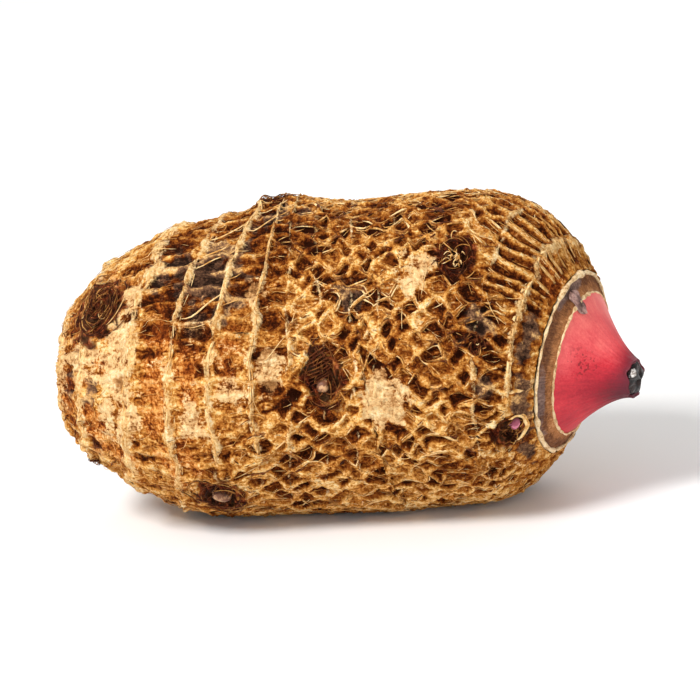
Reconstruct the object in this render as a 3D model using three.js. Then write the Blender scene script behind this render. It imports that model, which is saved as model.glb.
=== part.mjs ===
// Cocoyam: one side corm of a red-budded cocoyam, lying on its belly.
// It grew as one piece, so it is one closed solid: the ringed body, the collar where the leaf
// bases came off, the pink crown inside the collar and the dried stub of its tip.
// Millimetres, +Z up. The tail points to -X and the crown to +X.
// The origin is the middle of the corm's outline seen from above, on the surface it rests on.
import * as THREE from 'three';

// ---- body, mm ----
const BODY_RADIUS = 26.3;
const BODY_LENGTH = 91.3; // from the tail to the collar, along the middle line
const TAIL_LENGTH = 34; // the stretch that rounds off to the tail
const TAIL_FULLNESS = 2.2; // 2 is a half ellipse, more is blunter
const SHOULDER_START = 40; // from here on the body narrows to the collar
const SHOULDER_POWER = 6.4; // how late and how fast it narrows
const COLLAR_RADIUS = 15.7;
const COLLAR_FLAT = 1.3; // the collar is this much flatter on one side
const COLLAR_FLAT_DEGREES = 305; // which lies here, round from +Y over +Z
const COLLAR_FLAT_START = 78; // and the body flattens to it from here on
const COLLAR_TILT = 2.3; // the collar's lowest point lies this far back from its top
const COLLAR_TILT_START = 80; // and the body is drawn back with it from here on

// ---- where the back is fuller and the underside is hollow: mm from the tail, reach, mm ----
const BACK_BUMPS = [[46, 9, 1.7], [80, 19, 2.3]];
const BACK_EVEN_FROM = 86; // the back evens out from here to the collar
const UNDERSIDE_HOLLOWS = [[12, 9, 1.8], [70, 12, 0.9]];

// ---- middle line, mm ----
const MIDDLE_SAG = 3; // how far mid length hangs below the two ends
const CROWN_LIFT = 0.04; // the crown end is carried higher by this much for each mm of length
const BEND_START = 60; // from here the crown end turns down and towards -Y
const BEND_POWER = 1.5;
const CROWN_DROP = 5.5;
const CROWN_SWING = 5.0;

// ---- leaf-scar rings: mm from the tail, height; those of mid length are nearly worn away ----
const RINGS = [
  [3, 0.4], [6.5, 0.5], [10.5, 0.5], [15, 0.6], [20.3, 0.6], [27.3, 0.6], [33.9, 0.5], [40.5, 0.4],
  [46.5, 0.25], [52, 0.25], [57.5, 0.25], [63, 0.25], [68, 0.25], [72.5, 0.25], [77, 0.3],
  [82, 0.4], [87.5, 0.5],
];
const RING_HALF_WIDTH = 0.9;
const RING_LEAN_UP = 0.26; // the top of a ring leans to the crown by this share of the radius
const RING_LEAN_SIDE = 0.18; // and so does its -Y side
const LEAN_FULL_FROM = 20;
const LEAN_FADES_FROM = 34;
const LEAN_GONE_AT = 86;

// ---- eyes, the resting buds: mm from the tail, degrees round from +Y over +Z,
// width of the mound, its height, and the depth of the pit in it ----
const EYES = [
  [10.4, 130, 4.6, 0.5, 1.0],
  [41.5, 80, 4.4, 1.7, 0.4],
  [52.7, 170, 4.6, 0.4, 1.3],
  [32, 221, 4.4, 1.0, 0.9],
  [76.8, 125, 4.0, 0.4, 1.0],
  [88.4, 199, 2.9, 0.5, 0.8],
  [23, 18, 4.4, 0.9, 1.0],
  [46, 322, 4.6, 0.8, 1.2],
  [61, 38, 3.8, 0.6, 1.0],
  [70, 338, 4.2, 0.7, 1.1],
  [26, 288, 4.0, 0.8, 0.9],
  [83, 284, 3.0, 0.5, 0.8],
  [86, 62, 2.8, 0.5, 0.8],
];

// ---- belly, mm ----
const BELLY_FLAT = 1.2; // the belly is worn flat this far up from its lowest point

// ---- crown, mm, measured from the collar along the crown's own axis ----
const COLLAR_LIP = [[0.7, 15.4], [0.55, 14.6]]; // [offset, radius] of the lip's top and inner foot
const BAND_END = [2.1, 12.6]; // the brown band rises inwards from the lip to here
const CONE_START = 2.2;
const CONE_LENGTH = 8.6;
const CONE_BASE_RADIUS = 12.2;
const CONE_TIP_RADIUS = 3.4;
const CONE_FLARE = 1.5; // 1 is a straight cone, more curves in
const CONE_STEPS = 7;
const TIP_DROP = 1.5; // the cone's tip lies this far below the axis
const STUB = [[0.1, 2.8], [0.5, 2.5], [0.75, 1.7]]; // [offset from the cone's end, radius]
const STUB_LENGTH = 0.9;

const TAIL_ROWS = [0.3, 1.1]; // mm from the tail, before the first ring
const SEGMENTS = 40; // round the body

const radians = THREE.MathUtils.degToRad;
const smoothstep = THREE.MathUtils.smoothstep;

// The point of the middle line that is `along` mm from the tail.
function middlePoint(along) {
  const fromMid = (2 * along) / BODY_LENGTH - 1;
  const bend = Math.max(along - BEND_START, 0) / (BODY_LENGTH - BEND_START);
  const y = -CROWN_SWING * bend ** BEND_POWER;
  const z = CROWN_LIFT * along - MIDDLE_SAG * (1 - fromMid * fromMid) - CROWN_DROP * bend ** BEND_POWER;
  return new THREE.Vector3(along, y, z);
}

// The middle line's point, direction and the two directions across it.
function middleFrame(along) {
  const step = 0.05;
  const centre = middlePoint(along);
  const axis = middlePoint(along + step).sub(middlePoint(along - step)).normalize();
  const side = new THREE.Vector3(0, 0, 1).cross(axis).normalize();
  const up = axis.clone().cross(side);
  return { centre, axis, side, up };
}

// The plain radius of the body, without rings and eyes.
function bodyRadius(along) {
  const tail = Math.min(Math.max((TAIL_LENGTH - along) / TAIL_LENGTH, 0), 1);
  const rounded = BODY_RADIUS * (1 - tail * tail) ** (1 / TAIL_FULLNESS);
  const shoulder = Math.max(along - SHOULDER_START, 0) / (BODY_LENGTH - SHOULDER_START);
  return rounded - (BODY_RADIUS - COLLAR_RADIUS) * shoulder ** SHOULDER_POWER;
}

// How far the ring `station` mm from the tail leans along the body at this angle.
function ringLean(station, angle) {
  const strength = smoothstep(station, 0, LEAN_FULL_FROM)
    * (1 - smoothstep(station, LEAN_FADES_FROM, LEAN_GONE_AT));
  const direction = RING_LEAN_UP * Math.sin(angle) - RING_LEAN_SIDE * Math.cos(angle);
  return strength * direction * bodyRadius(station);
}

// The height of the nearest ring's ridge.
function ringRidge(station) {
  let height = 0;
  for (const [ring, fullHeight] of RINGS) {
    const share = 1 - Math.abs(station - ring) / RING_HALF_WIDTH;
    height = Math.max(height, share * fullHeight);
  }
  return height;
}

// A slow unevenness of the whole body, which fades out at both ends.
function swell(along, angle) {
  const fade = smoothstep(along, 0, 15) * (1 - smoothstep(along, 75, BODY_LENGTH));
  const waves = 0.5 * Math.sin(2 * angle + 0.05 * along + 0.6)
    + 0.35 * Math.sin(3 * angle - 0.08 * along)
    + 0.35 * Math.sin(0.16 * along + angle);
  return fade * waves;
}

// 1 at a place along the body, and fading away over its reach on both sides.
function bump(along, place, reach) {
  const distance = (along - place) / reach;
  return Math.exp(-distance * distance);
}

// How much the collar's flat side takes part at this angle, 0 to 1.
function flatSide(angle) {
  return Math.max(Math.cos(angle - radians(COLLAR_FLAT_DEGREES)), 0) ** 2;
}

// The fuller back, the hollows of the underside and the flatter side towards the collar.
function fullness(along, angle) {
  const back = Math.max(Math.sin(angle), 0) ** 4 * (1 - smoothstep(along, BACK_EVEN_FROM, BODY_LENGTH));
  const underside = Math.max(-Math.sin(angle), 0) ** 2;
  let change = -COLLAR_FLAT * flatSide(angle) * smoothstep(along, COLLAR_FLAT_START, BODY_LENGTH);
  for (const [place, reach, height] of BACK_BUMPS) change += back * height * bump(along, place, reach);
  for (const [place, reach, depth] of UNDERSIDE_HOLLOWS) {
    change -= underside * depth * bump(along, place, reach);
  }
  return change;
}

// How far the collar's tilt draws a place back towards the tail.
function tiltBack(along, angle) {
  const strength = smoothstep(along, COLLAR_TILT_START, BODY_LENGTH);
  return COLLAR_TILT * strength * 0.5 * (1 - Math.sin(angle));
}

// Mounds and pits of the eyes.
function eyeRelief(along, angle, radius) {
  let height = 0;
  for (const [place, degrees, width, mound, pit] of EYES) {
    const turn = Math.atan2(Math.sin(angle - radians(degrees)), Math.cos(angle - radians(degrees)));
    const distance = Math.hypot(along - place, turn * radius) / width;
    height += mound * Math.exp(-distance * distance);
    height -= pit * Math.exp(-6 * distance * distance);
  }
  return height;
}

// One closed row of points round the body.
function bodyRow(station) {
  const row = [];
  for (let k = 0; k < SEGMENTS; k += 1) {
    const angle = (2 * Math.PI * k) / SEGMENTS;
    const along = station + ringLean(station, angle);
    const plain = bodyRadius(along);
    const radius = plain + swell(along, angle) + fullness(along, angle)
      + eyeRelief(along, angle, plain) + ringRidge(station);
    const { centre, axis, side, up } = middleFrame(along);
    row.push(centre
      .addScaledVector(axis, -tiltBack(along, angle))
      .addScaledVector(side, radius * Math.cos(angle))
      .addScaledVector(up, radius * Math.sin(angle)));
  }
  return row;
}

// The middle of the crown this far out along its own axis, which droops to the tip, and the
// share of the cone's length that lies behind it.
function crownMiddle(offset) {
  const { centre, axis, side, up } = middleFrame(BODY_LENGTH);
  const share = Math.min(Math.max(offset - CONE_START, 0) / CONE_LENGTH, 1);
  const middle = centre.clone().addScaledVector(axis, offset).addScaledVector(up, -TIP_DROP * share);
  return { middle, share, axis, side, up };
}

// One closed row of points of the collar, crown or stub.
function crownRow(offset, radius) {
  const { middle, share, axis, side, up } = crownMiddle(offset);
  const row = [];
  for (let k = 0; k < SEGMENTS; k += 1) {
    const angle = (2 * Math.PI * k) / SEGMENTS;
    const reach = radius * (1 - (COLLAR_FLAT / COLLAR_RADIUS) * flatSide(angle));
    row.push(middle.clone()
      .addScaledVector(axis, -tiltBack(BODY_LENGTH, angle) * (1 - share))
      .addScaledVector(side, reach * Math.cos(angle))
      .addScaledVector(up, reach * Math.sin(angle)));
  }
  return row;
}

// Where the rows of the body lie: on each ring and at both its feet.
function bodyStations() {
  const stations = [...TAIL_ROWS];
  for (const [ring] of RINGS) stations.push(ring - RING_HALF_WIDTH, ring, ring + RING_HALF_WIDTH);
  stations.push(BODY_LENGTH);
  return stations;
}

function cormRows() {
  const rows = bodyStations().map(bodyRow);
  for (const [offset, radius] of COLLAR_LIP) rows.push(crownRow(offset, radius));
  rows.push(crownRow(...BAND_END));
  for (let step = 0; step <= CONE_STEPS; step += 1) {
    const share = step / CONE_STEPS;
    const flare = (CONE_BASE_RADIUS - CONE_TIP_RADIUS) * (1 - share) ** CONE_FLARE;
    rows.push(crownRow(CONE_START + share * CONE_LENGTH, CONE_TIP_RADIUS + flare));
  }
  const coneEnd = CONE_START + CONE_LENGTH;
  for (const [offset, radius] of STUB) rows.push(crownRow(coneEnd + offset, radius));
  return rows;
}

// Skins the rows and closes both ends with a fan round one point.
function cormGeometry() {
  const rows = cormRows();
  const points = rows.flat();
  const tail = points.push(middlePoint(0)) - 1;
  const tip = points.push(crownMiddle(CONE_START + CONE_LENGTH + STUB_LENGTH).middle) - 1;

  const triangles = [];
  for (let row = 0; row < rows.length - 1; row += 1) {
    for (let k = 0; k < SEGMENTS; k += 1) {
      const next = (k + 1) % SEGMENTS;
      const a = row * SEGMENTS + k;
      const b = row * SEGMENTS + next;
      triangles.push(a, b, a + SEGMENTS, b, b + SEGMENTS, a + SEGMENTS);
    }
  }
  const last = (rows.length - 1) * SEGMENTS;
  for (let k = 0; k < SEGMENTS; k += 1) {
    const next = (k + 1) % SEGMENTS;
    triangles.push(tail, next, k);
    triangles.push(tip, last + k, last + next);
  }

  const floor = Math.min(...points.map((point) => point.z)) + BELLY_FLAT;
  for (const point of points) point.z = Math.max(point.z, floor);
  const box = new THREE.Box3().setFromPoints(points);
  const middle = box.getCenter(new THREE.Vector3());
  for (const point of points) point.sub(new THREE.Vector3(middle.x, middle.y, floor));

  const geometry = new THREE.BufferGeometry().setFromPoints(points);
  geometry.setIndex(triangles);
  geometry.computeVertexNormals();
  return geometry;
}

const skin = new THREE.MeshStandardMaterial({ color: 0xa97f4c, roughness: 0.8, metalness: 0 });
const corm = new THREE.Mesh(cormGeometry(), skin);
corm.name = 'corm';

const cocoyam = new THREE.Group();
cocoyam.add(corm);

export default cocoyam;
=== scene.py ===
import math

import bpy
import numpy as np
from mathutils import Matrix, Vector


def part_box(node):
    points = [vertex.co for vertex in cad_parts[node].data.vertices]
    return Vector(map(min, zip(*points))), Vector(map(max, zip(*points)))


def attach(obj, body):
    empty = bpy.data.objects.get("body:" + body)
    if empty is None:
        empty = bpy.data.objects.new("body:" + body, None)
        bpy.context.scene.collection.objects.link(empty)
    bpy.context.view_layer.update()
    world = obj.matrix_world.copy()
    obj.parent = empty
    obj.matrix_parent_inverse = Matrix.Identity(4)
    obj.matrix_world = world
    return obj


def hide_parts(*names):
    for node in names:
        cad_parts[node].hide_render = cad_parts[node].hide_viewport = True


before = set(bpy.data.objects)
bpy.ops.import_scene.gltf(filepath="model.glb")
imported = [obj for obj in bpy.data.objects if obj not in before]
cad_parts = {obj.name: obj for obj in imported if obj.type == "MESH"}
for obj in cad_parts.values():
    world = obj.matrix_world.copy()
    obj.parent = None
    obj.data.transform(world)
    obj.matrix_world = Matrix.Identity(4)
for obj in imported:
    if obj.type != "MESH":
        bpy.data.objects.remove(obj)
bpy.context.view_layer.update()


# ---- The body and its corky skin ------------------------------------------------------------
# A cocoyam corm is one swollen stem. Its skin is a thin layer of dead brown cork that grew on the
# flesh: golden webs stand up round small dark cells, the scars of the leaves ring it, dark eyes
# lie in dimples, and it is rubbed pale or rusty where it has lain against something.
BODY_RADIUS = 26.3  # sizes in this file are in mm, until a mesh is made
BODY_LENGTH = 91.3
TAIL_LENGTH = 34
TAIL_FULLNESS = 2.2
SHOULDER_START = 40
SHOULDER_POWER = 6.4
COLLAR_RADIUS = 15.7
COLLAR_FLAT = 1.3
COLLAR_FLAT_DEGREES = 305
COLLAR_FLAT_START = 78
COLLAR_TILT = 2.3  # the collar's lowest point lies this far back from its top
COLLAR_TILT_START = 80
BACK_BUMPS = [(46, 9, 1.7), (80, 19, 2.3)]  # mm from the tail, reach, height
BACK_EVEN_FROM = 86
UNDERSIDE_HOLLOWS = [(12, 9, 1.8), (70, 12, 0.9)]
MIDDLE_SAG = 3
CROWN_LIFT = 0.04
BEND_START = 60
BEND_POWER = 1.5
CROWN_DROP = 5.5
CROWN_SWING = 5.0
RING_LEAN_UP = 0.26
RING_LEAN_SIDE = 0.18
LEAN_FULL_FROM = 20
LEAN_FADES_FROM = 34
LEAN_GONE_AT = 86
BOW_MIDDLE = math.radians(155)
RING_BOW = 3.2  # above and below that, the scars of the tail half bow towards the crown
BOW_GROWS, BOW_FADES = (8, 27), (34, 44)
RING_TWIST = 3.5  # and the next scar leans back at its top
TWIST_GROWS, TWIST_FADES = (34, 41), (44, 62)
TIP_X = 102.5  # the dried tip's end, in the corm's own mm
TAIL_HEIGHT = 26.08  # the tail's end lies this high above the floor

# The leaf scars: mm from the tail, half width, height, and how much of its way round each shows.
RINGS = [
    (2.8, 0.45, 0.6, 1.0), (7.5, 0.45, 0.9, 1.1), (14.2, 0.55, 0.8, 1.15),
    (20.3, 0.42, 0.6, 0.95), (27.3, 0.42, 0.8, 1.05), (33.9, 0.36, 0.65, 1.0), (40.5, 0.26, 0.4, 0.45),
    (47.3, 0.2, 0.25, 0.15), (54, 0.2, 0.25, 0.2), (60.8, 0.2, 0.25, 0.15), (82, 0.26, 0.25, 0.45),
    (87.8, 0.36, 0.5, 1.1),
]

# The eyes: mm from the tail, degrees round from +Y over +Z, width, height of the mound, depth of the pit.
EYES = [
    (10.4, 130, 4.6, 0.5, 1.3),
    (41.5, 80, 4.4, 1.7, 0.5),
    (52.7, 170, 4.3, 0.4, 1.7),
    (31, 220, 4.2, 1.0, 1.3),
    (76.8, 125, 3.9, 0.4, 1.4),
    (87.7, 201, 2.9, 0.5, 1.5),
    (23, 18, 4.4, 0.9, 1.2),
    (46, 322, 4.6, 0.8, 1.4),
    (61, 38, 3.8, 0.6, 1.2),
    (70, 338, 4.2, 0.7, 1.3),
    (26, 288, 4.0, 0.8, 1.1),
    (83, 284, 3.0, 0.5, 1.0),
    (86, 62, 2.8, 0.5, 1.0),
    (82.4, 158, 2.2, 0.2, 0.5),
    (6.4, 238, 2.2, 0.9, 0.8),
]

# How far an eye's dark scales reach: half length, half width, and 2 for an oval or less for a diamond.
EYE_SHAPES = [
    (6.2, 7.8, 2), (3.6, 4.0, 2), (4.0, 6.6, 1.3), (4.5, 5.5, 2), (3.5, 3.9, 2), (2.9, 3.2, 2),
    (4.0, 4.2, 2), (4.1, 4.6, 1.5), (3.4, 3.6, 2), (3.8, 4.2, 2), (3.6, 3.8, 2), (2.4, 2.6, 2),
    (2.2, 2.4, 2), (1.7, 1.9, 2), (2.4, 2.8, 2),
]

# Where the skin is rubbed, stained or darker (the darker partly painted shade), and where it is calm: there
# the cells are shallow and pale.
# Each kind has the seed of its ragged edges, and then its spots: mm from the tail, degrees round,
# half length, half width and strength.
PATCHES = {
    "cream": (31, [
        (16.5, 152, 2.6, 4.5, 1.3), (15.5, 166, 3, 4, 1.2), (8, 158, 3.5, 4, 1.2),
        (3, 168, 1.8, 5, 0.6), (13.6, 184, 1.5, 4, 1.1), (18.5, 178, 1.6, 4.5, 1.1),
        (18, 132, 2, 4, 0.7), (17, 190, 1.6, 3.5, 0.6), (43.8, 166, 2.8, 4.0, 1.6),
        (64.4, 181, 5.6, 5.4, 2.2), (71, 133, 2.8, 3.0, 0.8), (42, 136, 2.2, 2.6, 0.7),
        (30, 183, 2.2, 3.4, 1.0), (37, 172, 2, 3, 0.4), (31, 150, 2, 3, 0.4), (15, 20, 6, 7, 0.8),
        (36, 345, 5, 5, 0.9), (66, 300, 4, 5, 0.8), (52, 18, 3, 4, 0.7), (76, 20, 3, 4, 0.8),
        (20, 250, 5, 5, 0.7), (10, 320, 5, 6, 0.8),
    ]),
    "rust": (41, [
        (23.7, 174, 2.8, 10, 1.3), (24.5, 150, 2.6, 5, 0.9), (30, 165, 2.6, 6, 0.8),
        (10.8, 196, 2.4, 6, 1.2), (5.2, 190, 1.8, 6, 1.1), (7, 128, 3, 5, 0.8), (15, 205, 4, 5, 0.6),
        (27, 200, 3, 5, 0.6), (12, 158, 3, 3, 0.5), (36, 160, 3, 5, 0.5), (89.4, 112, 2.0, 3.4, 2.4),
        (10.4, 130, 6.4, 8, 1.2), (24, 330, 4, 9, 0.8), (40, 20, 4, 6, 0.6), (60, 345, 5, 6, 0.5),
    ]),
    "slate": (51, [
        (33, 126, 6.5, 8, 1.0), (24, 120, 3, 5, 0.8), (37.5, 141, 2.4, 2.6, 0.9),
        (58.5, 142, 2.6, 2.4, 0.9), (84.5, 176, 2.6, 1.8, 0.5), (82, 150, 3, 3, 0.6),
        (89.8, 186, 1.4, 5, 1.0), (89.8, 150, 1.2, 5, 0.8), (89.8, 216, 1.2, 4, 0.7),
        (10.6, 176, 1.5, 3.2, 1.0), (5.4, 176, 1.1, 2.6, 0.9), (10.4, 208, 1.4, 3, 0.8),
        (31, 146, 2, 3, 0.5), (44, 100, 5, 4, 0.6), (30, 40, 6, 7, 0.8), (55, 300, 6, 5, 0.7),
        (72, 60, 4, 4, 0.7),
    ]),
    # The dark spots are partly darker cork and partly painted shade: the broad ones over the top of the
    # middle, from 104 to 112 degrees round, are painted shade.
    "dark": (55, [
        (5.2, 186, 2.0, 9, 0.7), (10.8, 188, 2.0, 8, 0.6), (80, 146, 6, 5, 0.4), (48, 112, 8, 9, 0.7),
        (60, 108, 8, 9, 0.75), (71, 104, 6, 6, 0.7), (59, 155, 3.2, 4.2, 1.0),
        (46.5, 176, 2.4, 2.2, 0.9), (24, 108, 4, 6, 0.9), (70, 158, 5, 4, 0.5), (66, 168, 4, 3, 0.35),
        (74, 172, 5, 5, 0.3), (81, 180, 4, 4, 0.45), (83, 158, 5, 9, 0.35), (55, 205, 6, 4, 0.4),
        (78, 214, 7, 4, 0.4), (77.6, 128, 4.5, 4.5, 0.5), (89.6, 165, 1.5, 24, 0.7),
        (20, 60, 5, 8, 0.6), (64, 270, 9, 7, 0.4), (48, 250, 6, 5, 0.4),
    ]),
    "calm": (57, [
        (10, 180, 12, 40, 1.0), (24, 178, 12, 12, 1.3), (31, 178, 11, 10, 1.3), (38, 176, 5, 8, 0.9),
        (20, 215, 14, 14, 1.1), (8, 60, 8, 40, 0.9), (22, 290, 12, 14, 1.0), (25, 345, 12, 12, 1.0),
    ]),
}

# The back next to the collar, where straight rungs stand out between two scars.
LADDER_FROM, LADDER_TO = 80, 130  # degrees round
LADDER_START, LADDER_SCAR, LADDER_END = 82, 87.6, 90.2  # mm from the tail
RUNGS = 60  # if they went all the way round
BARE_SCALE_TO = 117  # past the scar a bare scale hides them up to here, in degrees round


def smooth_step(low, high, value):
    share = np.clip((value - low) / (high - low), 0, 1)
    return share * share * (3 - 2 * share)


def middle_point(along):
    """The point of the corm's middle line that is this far from the tail."""
    along = np.asarray(along, float)
    from_mid = 2 * along / BODY_LENGTH - 1
    bend = (np.maximum(along - BEND_START, 0) / (BODY_LENGTH - BEND_START)) ** BEND_POWER
    z = CROWN_LIFT * along - MIDDLE_SAG * (1 - from_mid ** 2) - CROWN_DROP * bend
    return np.stack([along, -CROWN_SWING * bend, z], -1)


def middle_frame(along):
    """The middle line's point, its direction, and the directions to the side and up."""
    step = 0.05
    axis = middle_point(along + step) - middle_point(along - step)
    axis /= np.linalg.norm(axis, axis=-1, keepdims=True)
    side = np.cross(np.array([0.0, 0.0, 1.0]), axis)
    side /= np.linalg.norm(side, axis=-1, keepdims=True)
    return middle_point(along), axis, side, np.cross(axis, side)


def body_radius(along):
    tail = np.clip((TAIL_LENGTH - along) / TAIL_LENGTH, 0, 1)
    shoulder = np.maximum(along - SHOULDER_START, 0) / (BODY_LENGTH - SHOULDER_START)
    rounded = BODY_RADIUS * (1 - tail ** 2) ** (1 / TAIL_FULLNESS)
    return rounded - (BODY_RADIUS - COLLAR_RADIUS) * shoulder ** SHOULDER_POWER


def ring_lean(station, angle):
    """How far the ring at this station leans along the body."""
    strength = smooth_step(0, LEAN_FULL_FROM, station)
    strength = strength * (1 - smooth_step(LEAN_FADES_FROM, LEAN_GONE_AT, station))
    direction = RING_LEAN_UP * np.sin(angle) - RING_LEAN_SIDE * np.cos(angle)
    return strength * direction * body_radius(station)


def ring_bow(station, angle):
    """How far the scar at this station bows out of its plane."""
    bow = RING_BOW * smooth_step(*BOW_GROWS, station) * (1 - smooth_step(*BOW_FADES, station))
    twist = RING_TWIST * smooth_step(*TWIST_GROWS, station) * (1 - smooth_step(*TWIST_FADES, station))
    return bow * (1 - np.cos(2 * (angle - BOW_MIDDLE))) + twist * np.sin(angle - BOW_MIDDLE)


def scar_count(station, angle):
    """The station of the scar that passes through a place."""
    return station - ring_bow(station, angle)


def scar_place(count, angle):
    """The station at which this scar passes an angle."""
    station = count + 0 * angle
    for _ in range(15):
        station = station + 0.6 * (count - scar_count(station, angle))
    return station


def tilt_back(along, angle):
    """How far the collar's tilt draws a place back towards the tail."""
    return COLLAR_TILT * smooth_step(COLLAR_TILT_START, BODY_LENGTH, along) * 0.5 * (1 - np.sin(angle))


def swell(along, angle):
    """The slow unevenness of the whole body."""
    fade = smooth_step(0, 15, along) * (1 - smooth_step(75, BODY_LENGTH, along))
    waves = (0.5 * np.sin(2 * angle + 0.05 * along + 0.6) + 0.35 * np.sin(3 * angle - 0.08 * along)
             + 0.35 * np.sin(0.16 * along + angle))
    return fade * waves


def flat_side(angle):
    return np.maximum(np.cos(angle - math.radians(COLLAR_FLAT_DEGREES)), 0) ** 2


def fullness(along, angle):
    """The fuller back, the hollows of the underside and the flatter side towards the collar."""
    back = np.maximum(np.sin(angle), 0) ** 4 * (1 - smooth_step(BACK_EVEN_FROM, BODY_LENGTH, along))
    underside = np.maximum(-np.sin(angle), 0) ** 2
    change = -COLLAR_FLAT * flat_side(angle) * smooth_step(COLLAR_FLAT_START, BODY_LENGTH, along)
    for place, reach, height in BACK_BUMPS:
        change = change + back * height * np.exp(-((along - place) / reach) ** 2)
    for place, reach, depth in UNDERSIDE_HOLLOWS:
        change = change - underside * depth * np.exp(-((along - place) / reach) ** 2)
    return change


def round_gap(angle, degrees):
    """The turn from a place, in radians, the short way round."""
    turn = angle - math.radians(degrees)
    return np.arctan2(np.sin(turn), np.cos(turn))


def eye_relief(along, angle):
    height = np.zeros(np.broadcast(along, angle).shape)
    for place, degrees, width, mound, pit in EYES:
        distance = np.hypot(along - place, round_gap(angle, degrees) * body_radius(along)) / width
        height += mound * np.exp(-distance ** 2) - pit * np.exp(-4 * distance ** 2)
    return height


def eye_gap(along, angle):
    """How far out from the nearest eye a place is: 0 in its middle, 1 at the end of its dark scales."""
    nearest = np.full(np.broadcast(along, angle).shape, 99.0)
    for (place, degrees, _, _, _), (half_length, half_width, power) in zip(EYES, EYE_SHAPES):
        lengthwise = np.abs(along - place) / half_length
        sideways = np.abs(round_gap(angle, degrees)) * body_radius(along) / half_width
        nearest = np.minimum(nearest, (lengthwise ** power + sideways ** power) ** (1 / power))
    return nearest


def body_point(station, angle, lift=0.0):
    """A point of the body's smooth form, raised outwards by lift."""
    along = station + ring_lean(station, angle)
    radius = body_radius(along) + swell(along, angle) + fullness(along, angle)
    radius = radius + eye_relief(along, angle) + lift
    centre, axis, side, up = middle_frame(along)
    across = np.cos(angle)[..., None] * side + np.sin(angle)[..., None] * up
    return centre - tilt_back(along, angle)[..., None] * axis + radius[..., None] * across


def outwards(station, angle):
    """The direction out of the skin."""
    step = 0.02
    station = np.maximum(station, 0.3)
    lengthwise = body_point(station + step, angle) - body_point(station - step, angle)
    crosswise = body_point(station, angle + step) - body_point(station, angle - step)
    out = np.cross(crosswise, lengthwise)
    return out / np.linalg.norm(out, axis=-1, keepdims=True)


WAVES = 14
WAVES_TOGETHER = 3.2  # about how high that many waves reach where they meet


def wander(run, angle, size, seed):
    """A smooth random field over the skin, about -1 to 1, with features of the given size."""
    chance = np.random.default_rng(seed)
    total = np.zeros(np.broadcast(run, angle).shape)
    for _ in range(WAVES):
        heading = chance.uniform(0, math.pi)
        wave = 2 * math.pi / (size * chance.uniform(0.7, 1.4) * 2)
        turns = round(wave * math.sin(heading) * BODY_RADIUS)
        total += np.sin(wave * math.cos(heading) * run + turns * angle + chance.uniform(0, 2 * math.pi))
    return total / WAVES_TOGETHER


# The skin is laid out by run, the way along it from the tail over the round end, and by angle.
fine_stations = BODY_LENGTH * np.linspace(0, 1, 4001) ** 2
fine_steps = np.hypot(np.diff(fine_stations), np.diff(body_radius(fine_stations)))
fine_runs = np.concatenate([[0], np.cumsum(fine_steps)])
FULL_RUN = fine_runs[-1]


def station_of(run):
    return np.interp(run, fine_runs, fine_stations)


def patches(kind, along, angle):
    """How far inside a kind of patch a place is, below 0 outside, with ragged edges."""
    seed, spots = PATCHES[kind]
    ragged = 0.3 * wander(along, angle, 2.6, seed) + 0.2 * wander(along, angle, 1.1, seed + 1)
    inside = np.full(np.broadcast(along, angle).shape, -1.0)
    for place, degrees, half_length, half_width, strength in spots:
        sideways = round_gap(angle, degrees) * body_radius(along) / half_width
        distance = np.hypot((along - place) / half_length, sideways) + ragged / max(strength, 1)
        inside = np.maximum(inside, strength * np.clip(1.4 - 1.4 * distance, -1, 1))
    return inside


# Near the tail the cells lie in rows between the leaf scars, and the webs are their edges.
ROW_EDGES = [0.5, 2.8, 7.5, 10.5, 14.2, 20.3, 27.3, 33.9, 40.5, 44]
ROWS = len(ROW_EDGES) - 1
MOST_CELLS = 120
BELOW_CROWDING = -0.12  # the cells are wider on the underside
BELOW = math.radians(240)
chance = np.random.default_rng(5)
row_middle = (np.array(ROW_EDGES[:-1]) + np.array(ROW_EDGES[1:])) / 2
row_length = np.diff(ROW_EDGES)
row_reach = np.interp(row_middle, [0, 34, 43], [0.85, 0.8, 0.6])
cell_width = np.interp(row_middle, [0, 12, 30, 42], [2.6, 3.4, 3.1, 2.8])
row_count = np.maximum(np.round(2 * math.pi * body_radius(row_middle) / cell_width), 5).astype(int)
spot_shift = chance.uniform(-0.27, 0.27, (2, ROWS, MOST_CELLS))
spot_shift[0] *= 0.2
cell_tone = chance.uniform(0, 1, (ROWS, MOST_CELLS))


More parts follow.
